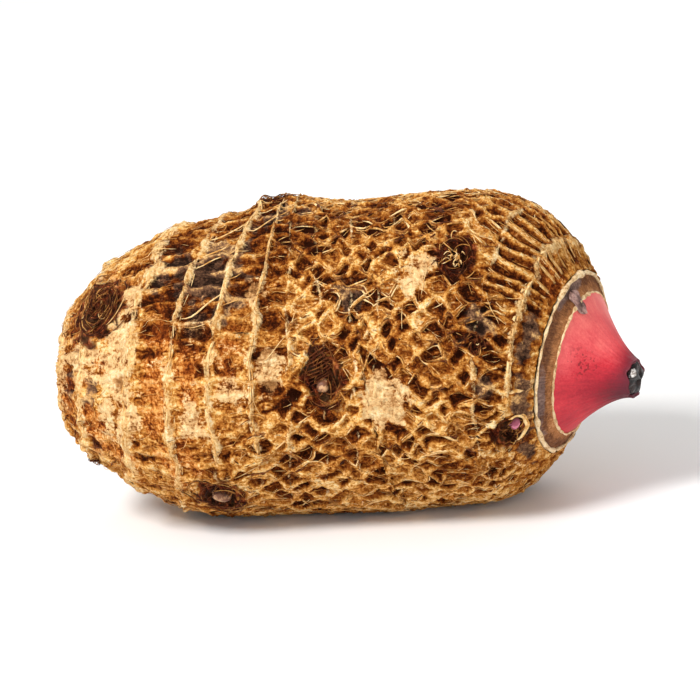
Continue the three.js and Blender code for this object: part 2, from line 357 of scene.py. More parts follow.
def cells(station, angle):
    """For places on the skin: mm in from the edge of their cell, and the cell's own tone."""
    level = np.interp(scar_count(station, angle), ROW_EDGES, np.arange(ROWS + 1))
    home = np.clip(np.floor(level).astype(int), 0, ROWS - 1)
    around = (angle + BELOW_CROWDING * np.sin(angle - BELOW)) / (2 * math.pi)
    crowding = 1 + BELOW_CROWDING * np.cos(angle - BELOW)
    gaps, names = [], []
    for row_step in (-2, -1, 0, 1, 2):
        row = np.clip(home + row_step, 0, ROWS - 1)
        offset = 0.5 * (row % 2)
        first = np.floor(around * row_count[row] - offset).astype(int)
        for step in (-1, 0, 1, 2):
            number = (first + step) % row_count[row]
            up = (level - row - 0.5 - spot_shift[0, row, number]) * row_reach[home]
            over = around * row_count[row] - first - step - offset - spot_shift[1, row, number]
            gaps.append(np.stack([up, over]))
            names.append(row * MOST_CELLS + number)
    gaps, names = np.stack(gaps), np.stack(names)
    far = (gaps ** 2).sum(1)
    own = far.argmin(0)
    own_gap = np.take_along_axis(gaps, own[None, None], 0)[0]
    own_name = np.take_along_axis(names, own[None], 0)[0]
    mm_up = row_length[home] / row_reach[home]
    mm_over = 2 * math.pi * np.maximum(body_radius(station), 3) / row_count[home] / crowding
    edge = np.full(level.shape, 9.0)
    for gap, name, distance in zip(gaps, names, far):
        between = own_gap - gap
        apart = np.hypot(*between) + 1e-9
        slope = np.maximum(np.hypot(between[0] / apart / mm_up, between[1] / apart / mm_over), 1e-9)
        here = (distance - far.min(0)) / (2 * apart) / slope
        edge = np.where(name == own_name, edge, np.minimum(edge, here))
    return edge, cell_tone.ravel()[own_name]


# From there to the crown the webs are strands that run lengthwise and swing from side to side, so
# that each in turn touches its two neighbours and leaves a lens shaped cell between.
STRANDS = 88
WEB_SHARE = 0.26  # of the strands' spacing, to each side of a strand's middle
CELL_LENGTH = 5.6
STRANDS_FROM = 40.5
STRANDS_BELOW_FROM = 29  # on the underside they begin nearer the tail
strand_tone = chance.uniform(0, 1, (40, STRANDS))


def net_start(angle):
    """The station where the strands begin."""
    below = smooth_step(0.35, 0.8, np.cos(angle - BELOW))
    return STRANDS_FROM + (STRANDS_BELOW_FROM - STRANDS_FROM) * below


def even_place(angle):
    """Where round the body a place is, counted in strands, which are crowded on the underside."""
    return (angle + BELOW_CROWDING * np.sin(angle - BELOW)) * STRANDS / (2 * math.pi)


def strand_spacing(station, angle):
    crowding = 1 + BELOW_CROWDING * np.cos(angle - BELOW)
    return 2 * math.pi * body_radius(station) / STRANDS / crowding


def strand_swing(number, station):
    """How far a strand has swung from its even place, in strand spacings."""
    drift = 0.7 * np.sin(0.23 * station + 1.7 * number) + 0.4 * np.sin(0.61 * station + 2.9 * number)
    size = np.interp(station, [0, 78, 86, 92], [0.45, 0.45, 0.42, 0.3])
    size = size * (1 + 0.35 * np.sin(0.5 * station + 2.4 * (number % 37) ** 2))
    wave = np.sin(2 * math.pi * station / CELL_LENGTH + math.pi * (number % 2) + drift)
    return size * 0.8 * np.arcsin(0.96 * wave)


def net(station, angle):
    """For places on the skin: mm from the middle of the nearest strand, and their cell's own tone."""
    around = even_place(angle)
    first = np.floor(around).astype(int)
    gaps = np.stack([first + step + strand_swing((first + step) % STRANDS, station) - around
                     for step in (-1, 0, 1, 2)])
    nearest = np.abs(gaps).argmin(0)
    number = (first - 1 + nearest) % STRANDS
    spacing = strand_spacing(station, angle)
    slope = (strand_swing(number, station + 0.1) - strand_swing(number, station)) / 0.1 * spacing
    distance = np.abs(gaps).min(0) * spacing / np.sqrt(1 + slope ** 2)
    beside = first - 2 + (gaps <= 0).sum(0)
    ahead = np.floor(station / CELL_LENGTH - 0.25 + 0.5 * (beside % 2)).astype(int)
    return distance, strand_tone[ahead % len(strand_tone), beside % STRANDS]


def crooked(station, angle):
    """Shifts places a little, so that what is drawn there comes out crooked."""
    amount = np.interp(station, [0, 20, 42, 74, 84, 92], [0.5, 0.6, 0.8, 0.8, 0.5, 0.25])
    sideways = 0.42 * wander(station, angle, 4.4, 201) + 0.12 * wander(station, angle, 1.6, 202)
    lengthwise = 0.8 * wander(station, angle, 4.4, 203) + 0.25 * wander(station, angle, 1.8, 204)
    return station + amount * lengthwise, angle + amount * sideways / np.maximum(body_radius(station), 5)


def crooked_back(station, angle):
    """The place that crooked() shifts to this one."""
    from_station, from_angle = station, angle
    for _ in range(3):
        to_station, to_angle = crooked(from_station, from_angle)
        from_station = from_station + station - to_station
        from_angle = from_angle + angle - to_angle
    return from_station, from_angle


def web_half_width(station, angle):
    in_rows = np.interp(station, [0, 10, 20, 36, 44], [0.55, 0.5, 0.32, 0.3, 0.4])
    in_net = WEB_SHARE * strand_spacing(station, angle)
    base = np.where(scar_count(station, angle) > net_start(angle), in_net, in_rows)
    uneven = 1 + 0.4 * wander(station, angle, 6, 211) + 0.4 * wander(station, angle, 2.4, 212)
    return np.maximum(base * uneven, 0.08)


SCARS_HIDDEN_FROM = (15, 27)  # mm from the tail, on the underside
SCAR_WANDER = 0.34  # mm that a scar strays from its place, over a run of 6 mm
SCAR_SEEDS = 230
SCAR_SHAKE = 0.16  # and over a run of 1.7 mm
SHAKE_SEEDS = 290


def scar_shows(count, angle):
    """Less than 1 where the strands of the underside hide a leaf scar."""
    underneath = smooth_step(0.62, 0.9, np.cos(angle - BELOW))
    return 1 - 0.92 * underneath * smooth_step(*SCARS_HIDDEN_FROM, count)


def ring_inside(station, angle):
    """How many mm inside the nearest leaf scar a place is, below 0 outside, and the scar's height."""
    station = scar_count(station, angle)
    inside = np.full(np.broadcast(station, angle).shape, -3.0)
    height = np.zeros(inside.shape)
    for number, (ring, half_width, ring_height, shows) in enumerate(RINGS):
        gap = station - ring + SCAR_WANDER * wander(station, angle, 6, SCAR_SEEDS + number)
        gap = gap + SCAR_SHAKE * wander(station, angle, 1.7, SHAKE_SEEDS + number)
        near = np.abs(gap) < 2.5
        place, turn = station[near], angle[near]
        width = half_width * (1 + 0.45 * wander(place, turn, 3.2, 250 + number))
        width = width * smooth_step(-1.0, 0.1, wander(place, turn, 7, 270 + number) + 1.6 * shows - 1.0)
        width = width * scar_shows(ring, turn)
        inside[near] = np.maximum(inside[near], width - np.abs(gap[near]))
        ridge = ring_height * np.exp(-(gap[near] / (1.3 * width + 0.1)) ** 2)
        height[near] = np.maximum(height[near], ridge * np.clip(width / half_width, 0, 1))
    return inside, height


def ladder(station, angle):
    """How much the straight rungs show at a place, and mm out from the nearest rung."""
    degrees = np.degrees(angle) % 360 + 4 * wander(station, angle, 3, 221)
    share = smooth_step(LADDER_FROM - 8, LADDER_FROM, degrees)
    share = share * (1 - smooth_step(LADDER_TO, LADDER_TO + 8, degrees))
    share = share * smooth_step(LADDER_START - 0.4, LADDER_START + 0.4, station)
    share = share * (1 - smooth_step(LADDER_END - 0.4, LADDER_END + 0.4, station))
    share = share * np.where((station > LADDER_SCAR) & (degrees < BARE_SCALE_TO), 0, 1)
    rung = angle * RUNGS / (2 * math.pi) + 0.18 * wander(station, angle, 4, 222)
    return share, np.abs(rung - np.round(rung)) * 2 * math.pi * body_radius(station) / RUNGS


SKIN_ROWS = 268
SKIN_COLUMNS = 370
WEB_HEIGHT = 0.36
CELL_DEPTH = 0.5
RUNG_HALF_WIDTH = 0.46
TAIL_END = (1, 3)  # mm from the tail: nearer to it there are no cells
COLLAR_STRIP = (87.4, 87.9)  # past here there are no cells, but low crumbs
WORN_FLAT_FROM = (38, 42)  # past here the cream patches have lost their cells
grid_run = np.linspace(0.12, FULL_RUN, SKIN_ROWS)[:, None]
grid_angle = (2 * math.pi * np.arange(SKIN_COLUMNS) / SKIN_COLUMNS)[None, :]
grid_run, grid_angle = (part.copy() for part in np.broadcast_arrays(grid_run, grid_angle))
grid_station = station_of(grid_run)
grid_along = grid_station + ring_lean(grid_station, grid_angle)
cream, rust, slate, dark, calm = (patches(kind, grid_along, grid_angle) for kind in PATCHES)
calm = smooth_step(-0.2, 0.7, calm) * (1 - smooth_step(-0.2, 0.4, slate))
crooked_station, crooked_angle = crooked(grid_station, grid_angle)
cell_edge, tone = cells(crooked_station, crooked_angle)
strand_gap, strand_cell_tone = net(crooked_station, crooked_angle)
in_net = smooth_step(-1, 1, scar_count(grid_station, grid_angle) - net_start(grid_angle))
cell_edge = cell_edge + (strand_gap - cell_edge) * in_net
tone = np.where(in_net > 0.5, strand_cell_tone, tone)
cell_inside = cell_edge - web_half_width(grid_station, grid_angle)
past_tail_end = smooth_step(*TAIL_END, grid_station)
cell_inside = cell_inside * past_tail_end - 0.2 * (1 - past_tail_end)
collar_crumb = 0.12 * wander(grid_run, grid_angle, 1.5, 68) - 0.12
cell_inside = cell_inside + (collar_crumb - cell_inside) * smooth_step(*COLLAR_STRIP, grid_station)
ladder_share, rung_gap = ladder(grid_station, grid_angle)
cell_inside = cell_inside + (rung_gap - RUNG_HALF_WIDTH - cell_inside) * ladder_share
tone = (tone + (0.8 - tone) * ladder_share) * (1 - 0.85 * calm)
ring_depth, ring_height = ring_inside(grid_station, grid_angle)
eye_distance = eye_gap(grid_along, grid_angle) + 0.14 * wander(grid_run, grid_angle, 1.6, 63)
eye_pit = 1 - smooth_step(0.6, 1.1, eye_distance)

worn_flat = smooth_step(-0.2, 0.4, cream) * smooth_step(*WORN_FLAT_FROM, grid_station)
tone = tone * (1 - 0.9 * worn_flat) * smooth_step(1.5, 4, grid_station)
plain_skin = (1 - eye_pit) * (1 - 0.9 * worn_flat) * smooth_step(1, 3.5, grid_station)
plain_skin = plain_skin * (1 - 0.6 * smooth_step(0.0, 0.6, rust)) * (1 - 0.5 * calm)
sunk = smooth_step(-0.1, 0.45, cell_inside) * (0.35 + 0.65 * tone)
sunk = sunk * (1 - smooth_step(-0.3, 0.1, ring_depth))
web_ridge = 1 - smooth_step(-0.45, 0.4, cell_inside)
crumb = 0.1 * wander(grid_run, grid_angle, 0.8, 65) + 0.13 * wander(grid_run, grid_angle, 1.5, 66)
eye_fold = np.sin(eye_distance * 13 + 3 * wander(grid_run, grid_angle, 3.0, 67))
eye_relief_fine = (0.26 * eye_fold - 0.35) * smooth_step(1.15, 0.8, eye_distance)
height = ring_height + plain_skin * (WEB_HEIGHT * web_ridge - CELL_DEPTH * sunk) + crumb + eye_relief_fine
skin_points = body_point(grid_station, grid_angle) + height[..., None] * outwards(grid_station, grid_angle)

# The corm rests on the CAD solid's floor and its tip ends where the CAD solid's does.
cad_low, cad_high = (1000 * np.array(corner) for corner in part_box("corm"))
form_points = body_point(grid_station, grid_angle)
SHIFT = np.array([cad_high[0] - TIP_X,
                  (cad_low[1] + cad_high[1] - form_points[..., 1].min() - form_points[..., 1].max()) / 2,
                  TAIL_HEIGHT])


def placed(points):
    """From the corm's own mm to the scene's metres, nothing lower than the floor."""
    moved = np.asarray(points, float) + SHIFT
    moved[..., 2] = np.maximum(moved[..., 2], 0.02)
    return moved / 1000


def mesh_piece(name, points, faces, corner_places=None):
    """A new piece from points in the corm's mm, faces, and for each face corner its map place."""
    mesh = bpy.data.meshes.new(name)
    mesh.from_pydata(placed(points).reshape(-1, 3).tolist(), [], faces)
    if corner_places is not None:
        layer = mesh.uv_layers.new(name="OFBake")
        layer.data.foreach_set("uv", np.asarray(corner_places, np.float32).ravel())
    mesh.polygons.foreach_set("use_smooth", [True] * len(mesh.polygons))
    mesh.update()
    piece = bpy.data.objects.new(name, mesh)
    bpy.context.scene.collection.objects.link(piece)
    return piece


def grid_faces(rows, columns):
    """Faces between neighbour rows of points, and each corner's row and column."""
    row, column = np.meshgrid(np.arange(rows - 1), np.arange(columns), indexing="ij")
    row, column = row.ravel(), column.ravel()
    beside = (column + 1) % columns
    faces = np.stack([row * columns + column, row * columns + beside,
                      (row + 1) * columns + beside, (row + 1) * columns + column], -1)
    corner_rows = np.stack([row, row, row + 1, row + 1], -1)
    corner_columns = np.stack([column, column + 1, column + 1, column], -1)
    return faces, corner_rows, corner_columns


def grid_piece(name, points, close_start=False):
    """A piece from rings of points, with its map laid out by row and column."""
    rows, columns = points.shape[:2]
    faces, corner_rows, corner_columns = grid_faces(rows, columns)
    places = np.stack([corner_columns / columns, corner_rows / (rows - 1)], -1).reshape(-1, 2) * 0.98 + 0.01
    faces, places = faces.tolist(), places.tolist()
    if close_start:
        faces.append(list(range(columns))[::-1])
        places += [[0.01 + 0.002 * math.cos(turn), 0.005 + 0.002 * math.sin(turn)]
                   for turn in np.linspace(0, 2 * math.pi, columns)]
    return mesh_piece(name, points.reshape(-1, 3), faces, places)


def keep_on_points(piece, **values_by_name):
    """Stores numbers for each point of a piece, for its material to read."""
    for name, values in values_by_name.items():
        store = piece.data.attributes.new(name, "FLOAT", "POINT")
        store.data.foreach_set("value", np.asarray(values, np.float32).ravel())


skin = grid_piece("skin", skin_points, close_start=True)
keep_on_points(skin, cell=np.clip(cell_inside, -2, 2), tone=tone, cream=cream, rust=rust, slate=slate,
               dark=dark, calm=calm, scar=np.clip(ring_depth, -2, 2), eye_pit=eye_pit, eye_fold=eye_fold,
               from_eye=np.clip(eye_distance, 0, 2))


def linear(red, green, blue):
    """A colour as a paint chart gives it, 0 to 255, as Blender's nodes take it."""
    chart = np.array([red, green, blue]) / 255
    return (*np.where(chart <= 0.04045, chart / 12.92, ((chart + 0.055) / 1.055) ** 2.4).tolist(), 1.0)


class Finish:
    """A material with one Principled shader, and short ways to add the nodes that feed it."""

    def __init__(self, name, roughness=0.7, **sockets):
        self.material = bpy.data.materials.new(name)
        self.material.use_nodes = True
        self.tree = self.material.node_tree
        self.shader = self.tree.nodes["Principled BSDF"]
        self.shader.inputs["Roughness"].default_value = roughness
        for socket, value in sockets.items():
            self.shader.inputs[socket.replace("_", " ")].default_value = value

    def feed(self, socket, value):
        if hasattr(value, "is_output"):
            self.tree.links.new(value, socket)
        elif value is not None:
            socket.default_value = value

    def add(self, kind, output, inputs, **settings):
        node = self.tree.nodes.new(kind)
        for name, value in settings.items():
            setattr(node, name, value)
        for name, value in inputs.items():
            self.feed(node.inputs[name], value)
        return node.outputs[output]

    def place(self, stretch=(1, 1, 1), turn=(0, 0, 0)):
        """Places in the piece's own space, stretched and turned."""
        own = self.add("ShaderNodeTexCoord", "Object", {})
        return self.add("ShaderNodeMapping", "Vector", {"Vector": own, "Scale": stretch, "Rotation": turn})

    def kept(self, name):
        return self.add("ShaderNodeAttribute", "Fac", {}, attribute_name=name)

    def noise(self, scale, detail=4.0, rough=0.55, place=None, warp=0.0):
        inputs = {"Vector": place or self.place(), "Scale": scale, "Detail": detail,
                  "Roughness": rough, "Distortion": warp}
        return self.add("ShaderNodeTexNoise", "Fac", inputs)

    def math(self, operation, first, second):
        return self.add("ShaderNodeMath", "Value", {0: first, 1: second}, operation=operation)

    def total(self, *parts):
        result = parts[0]
        for part in parts[1:]:
            result = self.math("ADD", result, part)
        return result

    def between(self, value, low, high, to_low=0.0, to_high=1.0):
        inputs = {"Value": value, "From Min": low, "From Max": high, "To Min": to_low, "To Max": to_high}
        return self.add("ShaderNodeMapRange", "Result", inputs, interpolation_type="SMOOTHSTEP")

    def spread(self, value, amount):
        """A noise as a number from -amount to amount."""
        inputs = {"Value": value, "From Min": 0.25, "From Max": 0.75, "To Min": -amount, "To Max": amount}
        return self.add("ShaderNodeMapRange", "Result", inputs)

    def streaks(self, scale, roughness=0.6):
        """Noise on the mesh's own map, stretched by scale."""
        where = self.add("ShaderNodeUVMap", "UV", {}, uv_map="OFBake")
        stretched = self.add("ShaderNodeMapping", "Vector", {"Vector": where, "Scale": scale})
        return self.noise(1.0, 4, roughness, stretched)

    def uneven(self, value, *noises):
        """A value that each (noise, amount) moves by up to that amount either way."""
        return self.total(value, *(self.spread(noise, amount) for noise, amount in noises))

    def mix(self, share, first, second):
        node = self.tree.nodes.new("ShaderNodeMix")
        node.data_type = "RGBA"
        self.feed(node.inputs[0], share)
        self.feed(node.inputs[6], first)
        self.feed(node.inputs[7], second)
        return node.outputs[2]

    def ramp(self, value, stops):
        """A colour from a row of (place, red, green, blue) stops."""
        node = self.tree.nodes.new("ShaderNodeValToRGB")
        band = node.color_ramp.elements
        while len(band) < len(stops):
            band.new(0.5)
        for stop, (position, *chart) in zip(band, stops):
            stop.position = position
            stop.color = linear(*chart)
        self.feed(node.inputs["Fac"], value)
        return node.outputs["Color"]

    def bump(self, height, depth, under=None):
        inputs = {"Height": height, "Distance": depth / 1000, "Strength": 1.0}
        if under is not None:
            inputs["Normal"] = under
        return self.add("ShaderNodeBump", "Normal", inputs)

    def finish(self, colour, rough=None, normal=None):
        self.feed(self.shader.inputs["Base Color"], colour)
        self.feed(self.shader.inputs["Roughness"], rough)
        if normal is not None:
            self.tree.links.new(normal, self.shader.inputs["Normal"])
        return self.material


# Cork from the cell floors up to the web crests; the palest stops are partly painted highlight.
CORK_TONES = [(0.0, 44, 15, 3), (0.18, 88, 36, 7), (0.36, 132, 68, 20), (0.52, 174, 106, 40),
              (0.68, 216, 150, 72), (0.84, 248, 198, 120), (1.0, 255, 230, 176)]
SLATE_TONES = [(0.0, 38, 26, 19), (0.25, 82, 62, 48), (0.5, 124, 96, 74), (0.72, 208, 160, 102),
               (1.0, 252, 218, 160)]
RUST_TONES = [(0.0, 78, 28, 6), (0.25, 146, 70, 22), (0.5, 200, 118, 48), (0.75, 236, 166, 90),
              (1.0, 252, 216, 152)]
WORN_TONES = [(0.0, 110, 66, 34), (0.3, 184, 131, 77), (0.55, 223, 175, 118), (0.8, 245, 210, 152),
              (1.0, 254, 235, 190)]
SCAR_TONES = [(0.0, 150, 94, 44), (0.3, 208, 150, 84), (0.55, 240, 197, 132), (0.8, 252, 222, 168),
              (1.0, 255, 238, 202)]
EYE_TONES = [(0.0, 22, 8, 5), (0.35, 72, 26, 12), (0.6, 134, 60, 30), (0.82, 182, 106, 58),
             (1.0, 226, 174, 118)]


def cork_finish():
    """Dry cork: its tone follows its height, dark in the cells and straw on the webs, partly its own colour
    and partly painted shade in the cells and painted highlight on the crests of the webs.
    """
    cork = Finish("dry_cork", Specular_IOR_Level=0.05)
    blotch = cork.noise(110, 3, 0.5)
    mottle = cork.noise(380, 4, 0.6)
    fleck = cork.noise(1.0, 5, 0.7, cork.place((420, 1500, 1500)), 1.2)
    chip = cork.noise(1.0, 3, 0.6, cork.place((620, 1250, 1250), (0.2, 0.3, 0.35)), 0.8)
    cross = cork.noise(1.0, 4, 0.65, cork.place((1300, 520, 520), (0.5, 0.4, 0.5)), 0.8)
    fine = cork.noise(1900, 3, 0.65)
    tone, calm = cork.kept("tone"), cork.kept("calm")
    cell = cork.uneven(cork.kept("cell"), (mottle, 0.24), (fleck, 0.46), (chip, 0.36))

    # How light a place is: the floor of its cell, more up its web, and all the unevenness of cork. The
    # climb from floor to web is partly painted shade and painted highlight.
    floor = cork.uneven(cork.between(tone, 0.15, 0.65, 0.5, 0.12), (mottle, 0.12))
    above = cork.math("MULTIPLY", cork.between(cell, -0.42, 0.3, 1, 0), cork.math("SUBTRACT", 0.76, floor))
    level = cork.uneven(cork.total(floor, above), (fleck, 0.32), (chip, 0.3), (cross, 0.12), (fine, 0.26),
                        (blotch, 0.12))
    level = cork.total(level, cork.between(calm, 0, 1, 0, 0.06))
    cracks = cork.math("MULTIPLY", cork.between(cross, 0.32, 0.5, 1, 0),
                       cork.between(chip, 0.35, 0.55, 1, 0.2))
    level = cork.total(level, cork.math("MULTIPLY", cork.math("MULTIPLY", cracks, calm), -0.22))
    scar = cork.uneven(cork.kept("scar"), (fine, 0.2), (mottle, 0.2), (cross, 0.2))
    on_scar = cork.between(scar, -0.22, 0.22)
    # The dark spots lower the tone: darker cork, and painted shade over the top of the middle.
    level = cork.total(level, cork.between(cork.kept("dark"), -0.2, 0.7, 0, -0.3))

    # Its colour: brown cork, then slate, rust, worn cream and pale scar over it, and the eyes on top.
    colour = cork.ramp(level, CORK_TONES)
    slate = cork.uneven(cork.kept("slate"), (mottle, 0.35), (chip, 0.2))
    colour = cork.mix(cork.between(slate, -0.1, 0.4, 0, 0.8), colour, cork.ramp(level, SLATE_TONES))
    rust = cork.uneven(cork.kept("rust"), (mottle, 0.5))
    rust_level = cork.uneven(cork.between(level, 0.1, 0.9, 0.13, 0.63), (cross, 0.3), (fine, 0.2))
    colour = cork.mix(cork.between(rust, -0.2, 0.6, 0, 0.85), colour, cork.ramp(rust_level, RUST_TONES))
    worn = cork.uneven(cork.kept("cream"), (fine, 0.25), (fleck, 0.3), (mottle, 0.35))
    worn = cork.total(worn, cork.between(level, 0.2, 0.8, -0.35, 0.25),
                      cork.math("MULTIPLY", on_scar, 0.25))
    worn_level = cork.uneven(cork.between(level, 0.1, 0.8, 0.22, 0.68), (fine, 0.2), (cross, 0.13),
                             (mottle, 0.2))
    worn_level = cork.total(worn_level, cork.between(cork.kept("cream"), 0.5, 1.3, 0, 0.1))
    colour = cork.mix(cork.between(worn, -0.1, 0.45, 0, 0.92), colour, cork.ramp(worn_level, WORN_TONES))
    scar_level = cork.uneven(0.5, (fine, 0.4), (mottle, 0.2), (cross, 0.3))
    colour = cork.mix(cork.math("MULTIPLY", on_scar, 0.9), colour, cork.ramp(scar_level, SCAR_TONES))
    eye_level = cork.uneven(cork.between(cork.kept("eye_fold"), -0.6, 1.0, 0.06, 0.36), (cross, 0.34),
                            (fine, 0.3), (mottle, 0.16))
    eye_level = cork.total(eye_level, cork.between(cork.kept("from_eye"), 0.3, 0.95, -0.06, 0.2),
                           cork.between(cork.kept("rust"), 0.0, 1.2, 0, 0.13))
    eye_edge = cork.uneven(cork.kept("eye_pit"), (fine, 0.25), (fleck, 0.3), (chip, 0.2))
    colour = cork.mix(cork.between(eye_edge, 0.1, 0.6, 0, 0.96), colour, cork.ramp(eye_level, EYE_TONES))

    rough = cork.between(fleck, 0.3, 0.75, 0.92, 0.7)
    normal = cork.bump(fine, 0.2, cork.bump(chip, 0.35, cork.bump(fleck, 0.4)))
    return cork.finish(colour, rough, normal)


skin.data.materials.append(cork_finish())
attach(skin, "root")
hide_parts("corm")


# ---- The net of strands ---------------------------------------------------------------------
# The strands are the veins of the leaf bases that wrapped the stem, left behind when these rotted
# off: dry golden fibres, part sunk in the cork, that follow the webs round the cells in bundles.
MAP_LENGTH = 125.0  # a strand's colour is mapped by its length and its tone
TONE_WIDTH = 0.012
FEWEST_POINTS = 4


def rods_piece(name, rods, sides, flatness=0.8):
    """One piece of thin closed rods. A rod is its stations, angles, girths, tones and lifts."""
    sizes = np.array([len(rod[0]) for rod in rods])
    station, angle, girth, tone, lift = (np.concatenate([rod[part] for rod in rods]) for part in range(5))
    starts = np.concatenate([[0], np.cumsum(sizes)[:-1]])
    ends = starts + sizes - 1
    owner = np.repeat(np.arange(len(rods)), sizes)
    place = np.arange(len(station))
    out = outwards(station, angle)
    centre = body_point(station, angle) + (lift + ring_inside(station, angle)[1])[:, None] * out
    after, before = np.minimum(place + 1, ends[owner]), np.maximum(place - 1, starts[owner])
    way = centre[after] - centre[before]
    way /= np.linalg.norm(way, axis=1, keepdims=True) + 1e-9
    beside = np.cross(way, out)
    beside /= np.linalg.norm(beside, axis=1, keepdims=True) + 1e-9
    out = np.cross(beside, way)
    from_end = np.minimum(place - starts[owner], ends[owner] - place)
    girth = girth * np.clip(0.3 + 0.35 * from_end, 0, 1)
    turn = 2 * math.pi * np.arange(sides) / sides
    rim = np.cos(turn)[None, :, None] * beside[:, None]
    rim = rim + flatness * np.sin(turn)[None, :, None] * out[:, None]
    points = centre[:, None] + girth[:, None, None] * rim

    steps = np.concatenate([[0], np.linalg.norm(np.diff(centre, axis=0), axis=1)])
    travel = np.cumsum(steps)
    travel = travel - travel[starts][owner]
    slack = np.clip(1 - (travel[ends] + 1) / MAP_LENGTH, 0.01, 1)
    map_along = (0.37 * np.arange(len(rods)) % slack)[owner] + travel / MAP_LENGTH
    map_tone = 0.01 + 0.96 * np.clip(tone, 0, 1)

    here = place[place != ends[owner]][:, None]
    side = np.arange(sides)[None, :]
    beyond = (side + 1) % sides
    faces = np.stack([here * sides + side, (here + 1) * sides + side,
                      (here + 1) * sides + beyond, here * sides + beyond], -1).reshape(-1, 4)
    none = 0 * side
    corner_place = np.stack([here + none, here + 1 + none, here + 1 + none, here + none], -1).reshape(-1, 4)
    none = 0 * here
    corner_side = np.stack([side + none, side + none, side + 1 + none, side + 1 + none], -1).reshape(-1, 4)
    corner_tone = map_tone[corner_place] + TONE_WIDTH * corner_side / sides
    places = np.stack([map_along[corner_place], corner_tone], -1)
    caps = np.concatenate([starts[:, None] * sides + side, (ends[:, None] * sides + side)[:, ::-1]])
    cap_place = np.concatenate([starts, ends])
    cap_places = np.stack([map_along[cap_place][:, None] + 0.002 * np.cos(turn),
                           map_tone[cap_place][:, None] + 0.004 + 0.002 * np.sin(turn)], -1)
    corner_places = np.concatenate([places.reshape(-1, 2), cap_places.reshape(-1, 2)])
    return mesh_piece(name, points.reshape(-1, 3), faces.tolist() + caps.tolist(), corner_places)


def stretches(keep, *values):
    """The stretches where keep is true, as rods of at least FEWEST_POINTS."""
    edges = np.flatnonzero(np.diff(np.concatenate([[0], keep.astype(int), [0]])))
    for start, end in zip(edges[::2], edges[1::2]):
        if end - start >= FEWEST_POINTS:
            yield [value[start:end] for value in values]


FIBRE_TONES = [(0.0, 44, 18, 9), (0.25, 104, 51, 24), (0.5, 160, 104, 48), (0.75, 216, 158, 84),
               (1.0, 250, 216, 156)]


def fibre_finish():
    """Dry fibre: a tone from dark brown to straw up the map, and flecks along it."""
    fibre = Finish("dry_fibre", roughness=0.7, Specular_IOR_Level=0.12)
    where = fibre.add("ShaderNodeUVMap", "UV", {}, uv_map="OFBake")
    tone = fibre.add("ShaderNodeSeparateXYZ", "Y", {"Vector": where})
    fleck = fibre.streaks((110, 16, 1))
    return fibre.finish(fibre.ramp(fibre.uneven(tone, (fleck, 0.3)), FIBRE_TONES))


dry_fibre = fibre_finish()


def dress_fibre(piece):
    piece.data.materials.append(dry_fibre)
    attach(piece, "root")
    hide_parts("corm")


WEB_FIBRES = 1900
WEB_FIBRES_REACH = (8, 52)  # mm from the tail, over its round end
WEB_STEPS = 12
WEB_STEP = 0.55  # mm
LOOK_AHEAD = 1.5 * WEB_STEP  # before each step a fibre looks this far, each way that it may turn
STEEPEST = 0.95  # radians off the corm's length
TURNS = (0, -0.22, 0.22, -0.45, 0.45)  # radians that a fibre may turn at a step
BESIDE_STRAND = (-0.44, -0.22, 0, 0.22, 0.44)  # mm from a strand's middle, for each of its fibres
STRAND_STEP = 0.72  # mm
STRANDS_REACH = (28, 87.6)  # mm from the tail, before they are made crooked
NET_END = 87.3


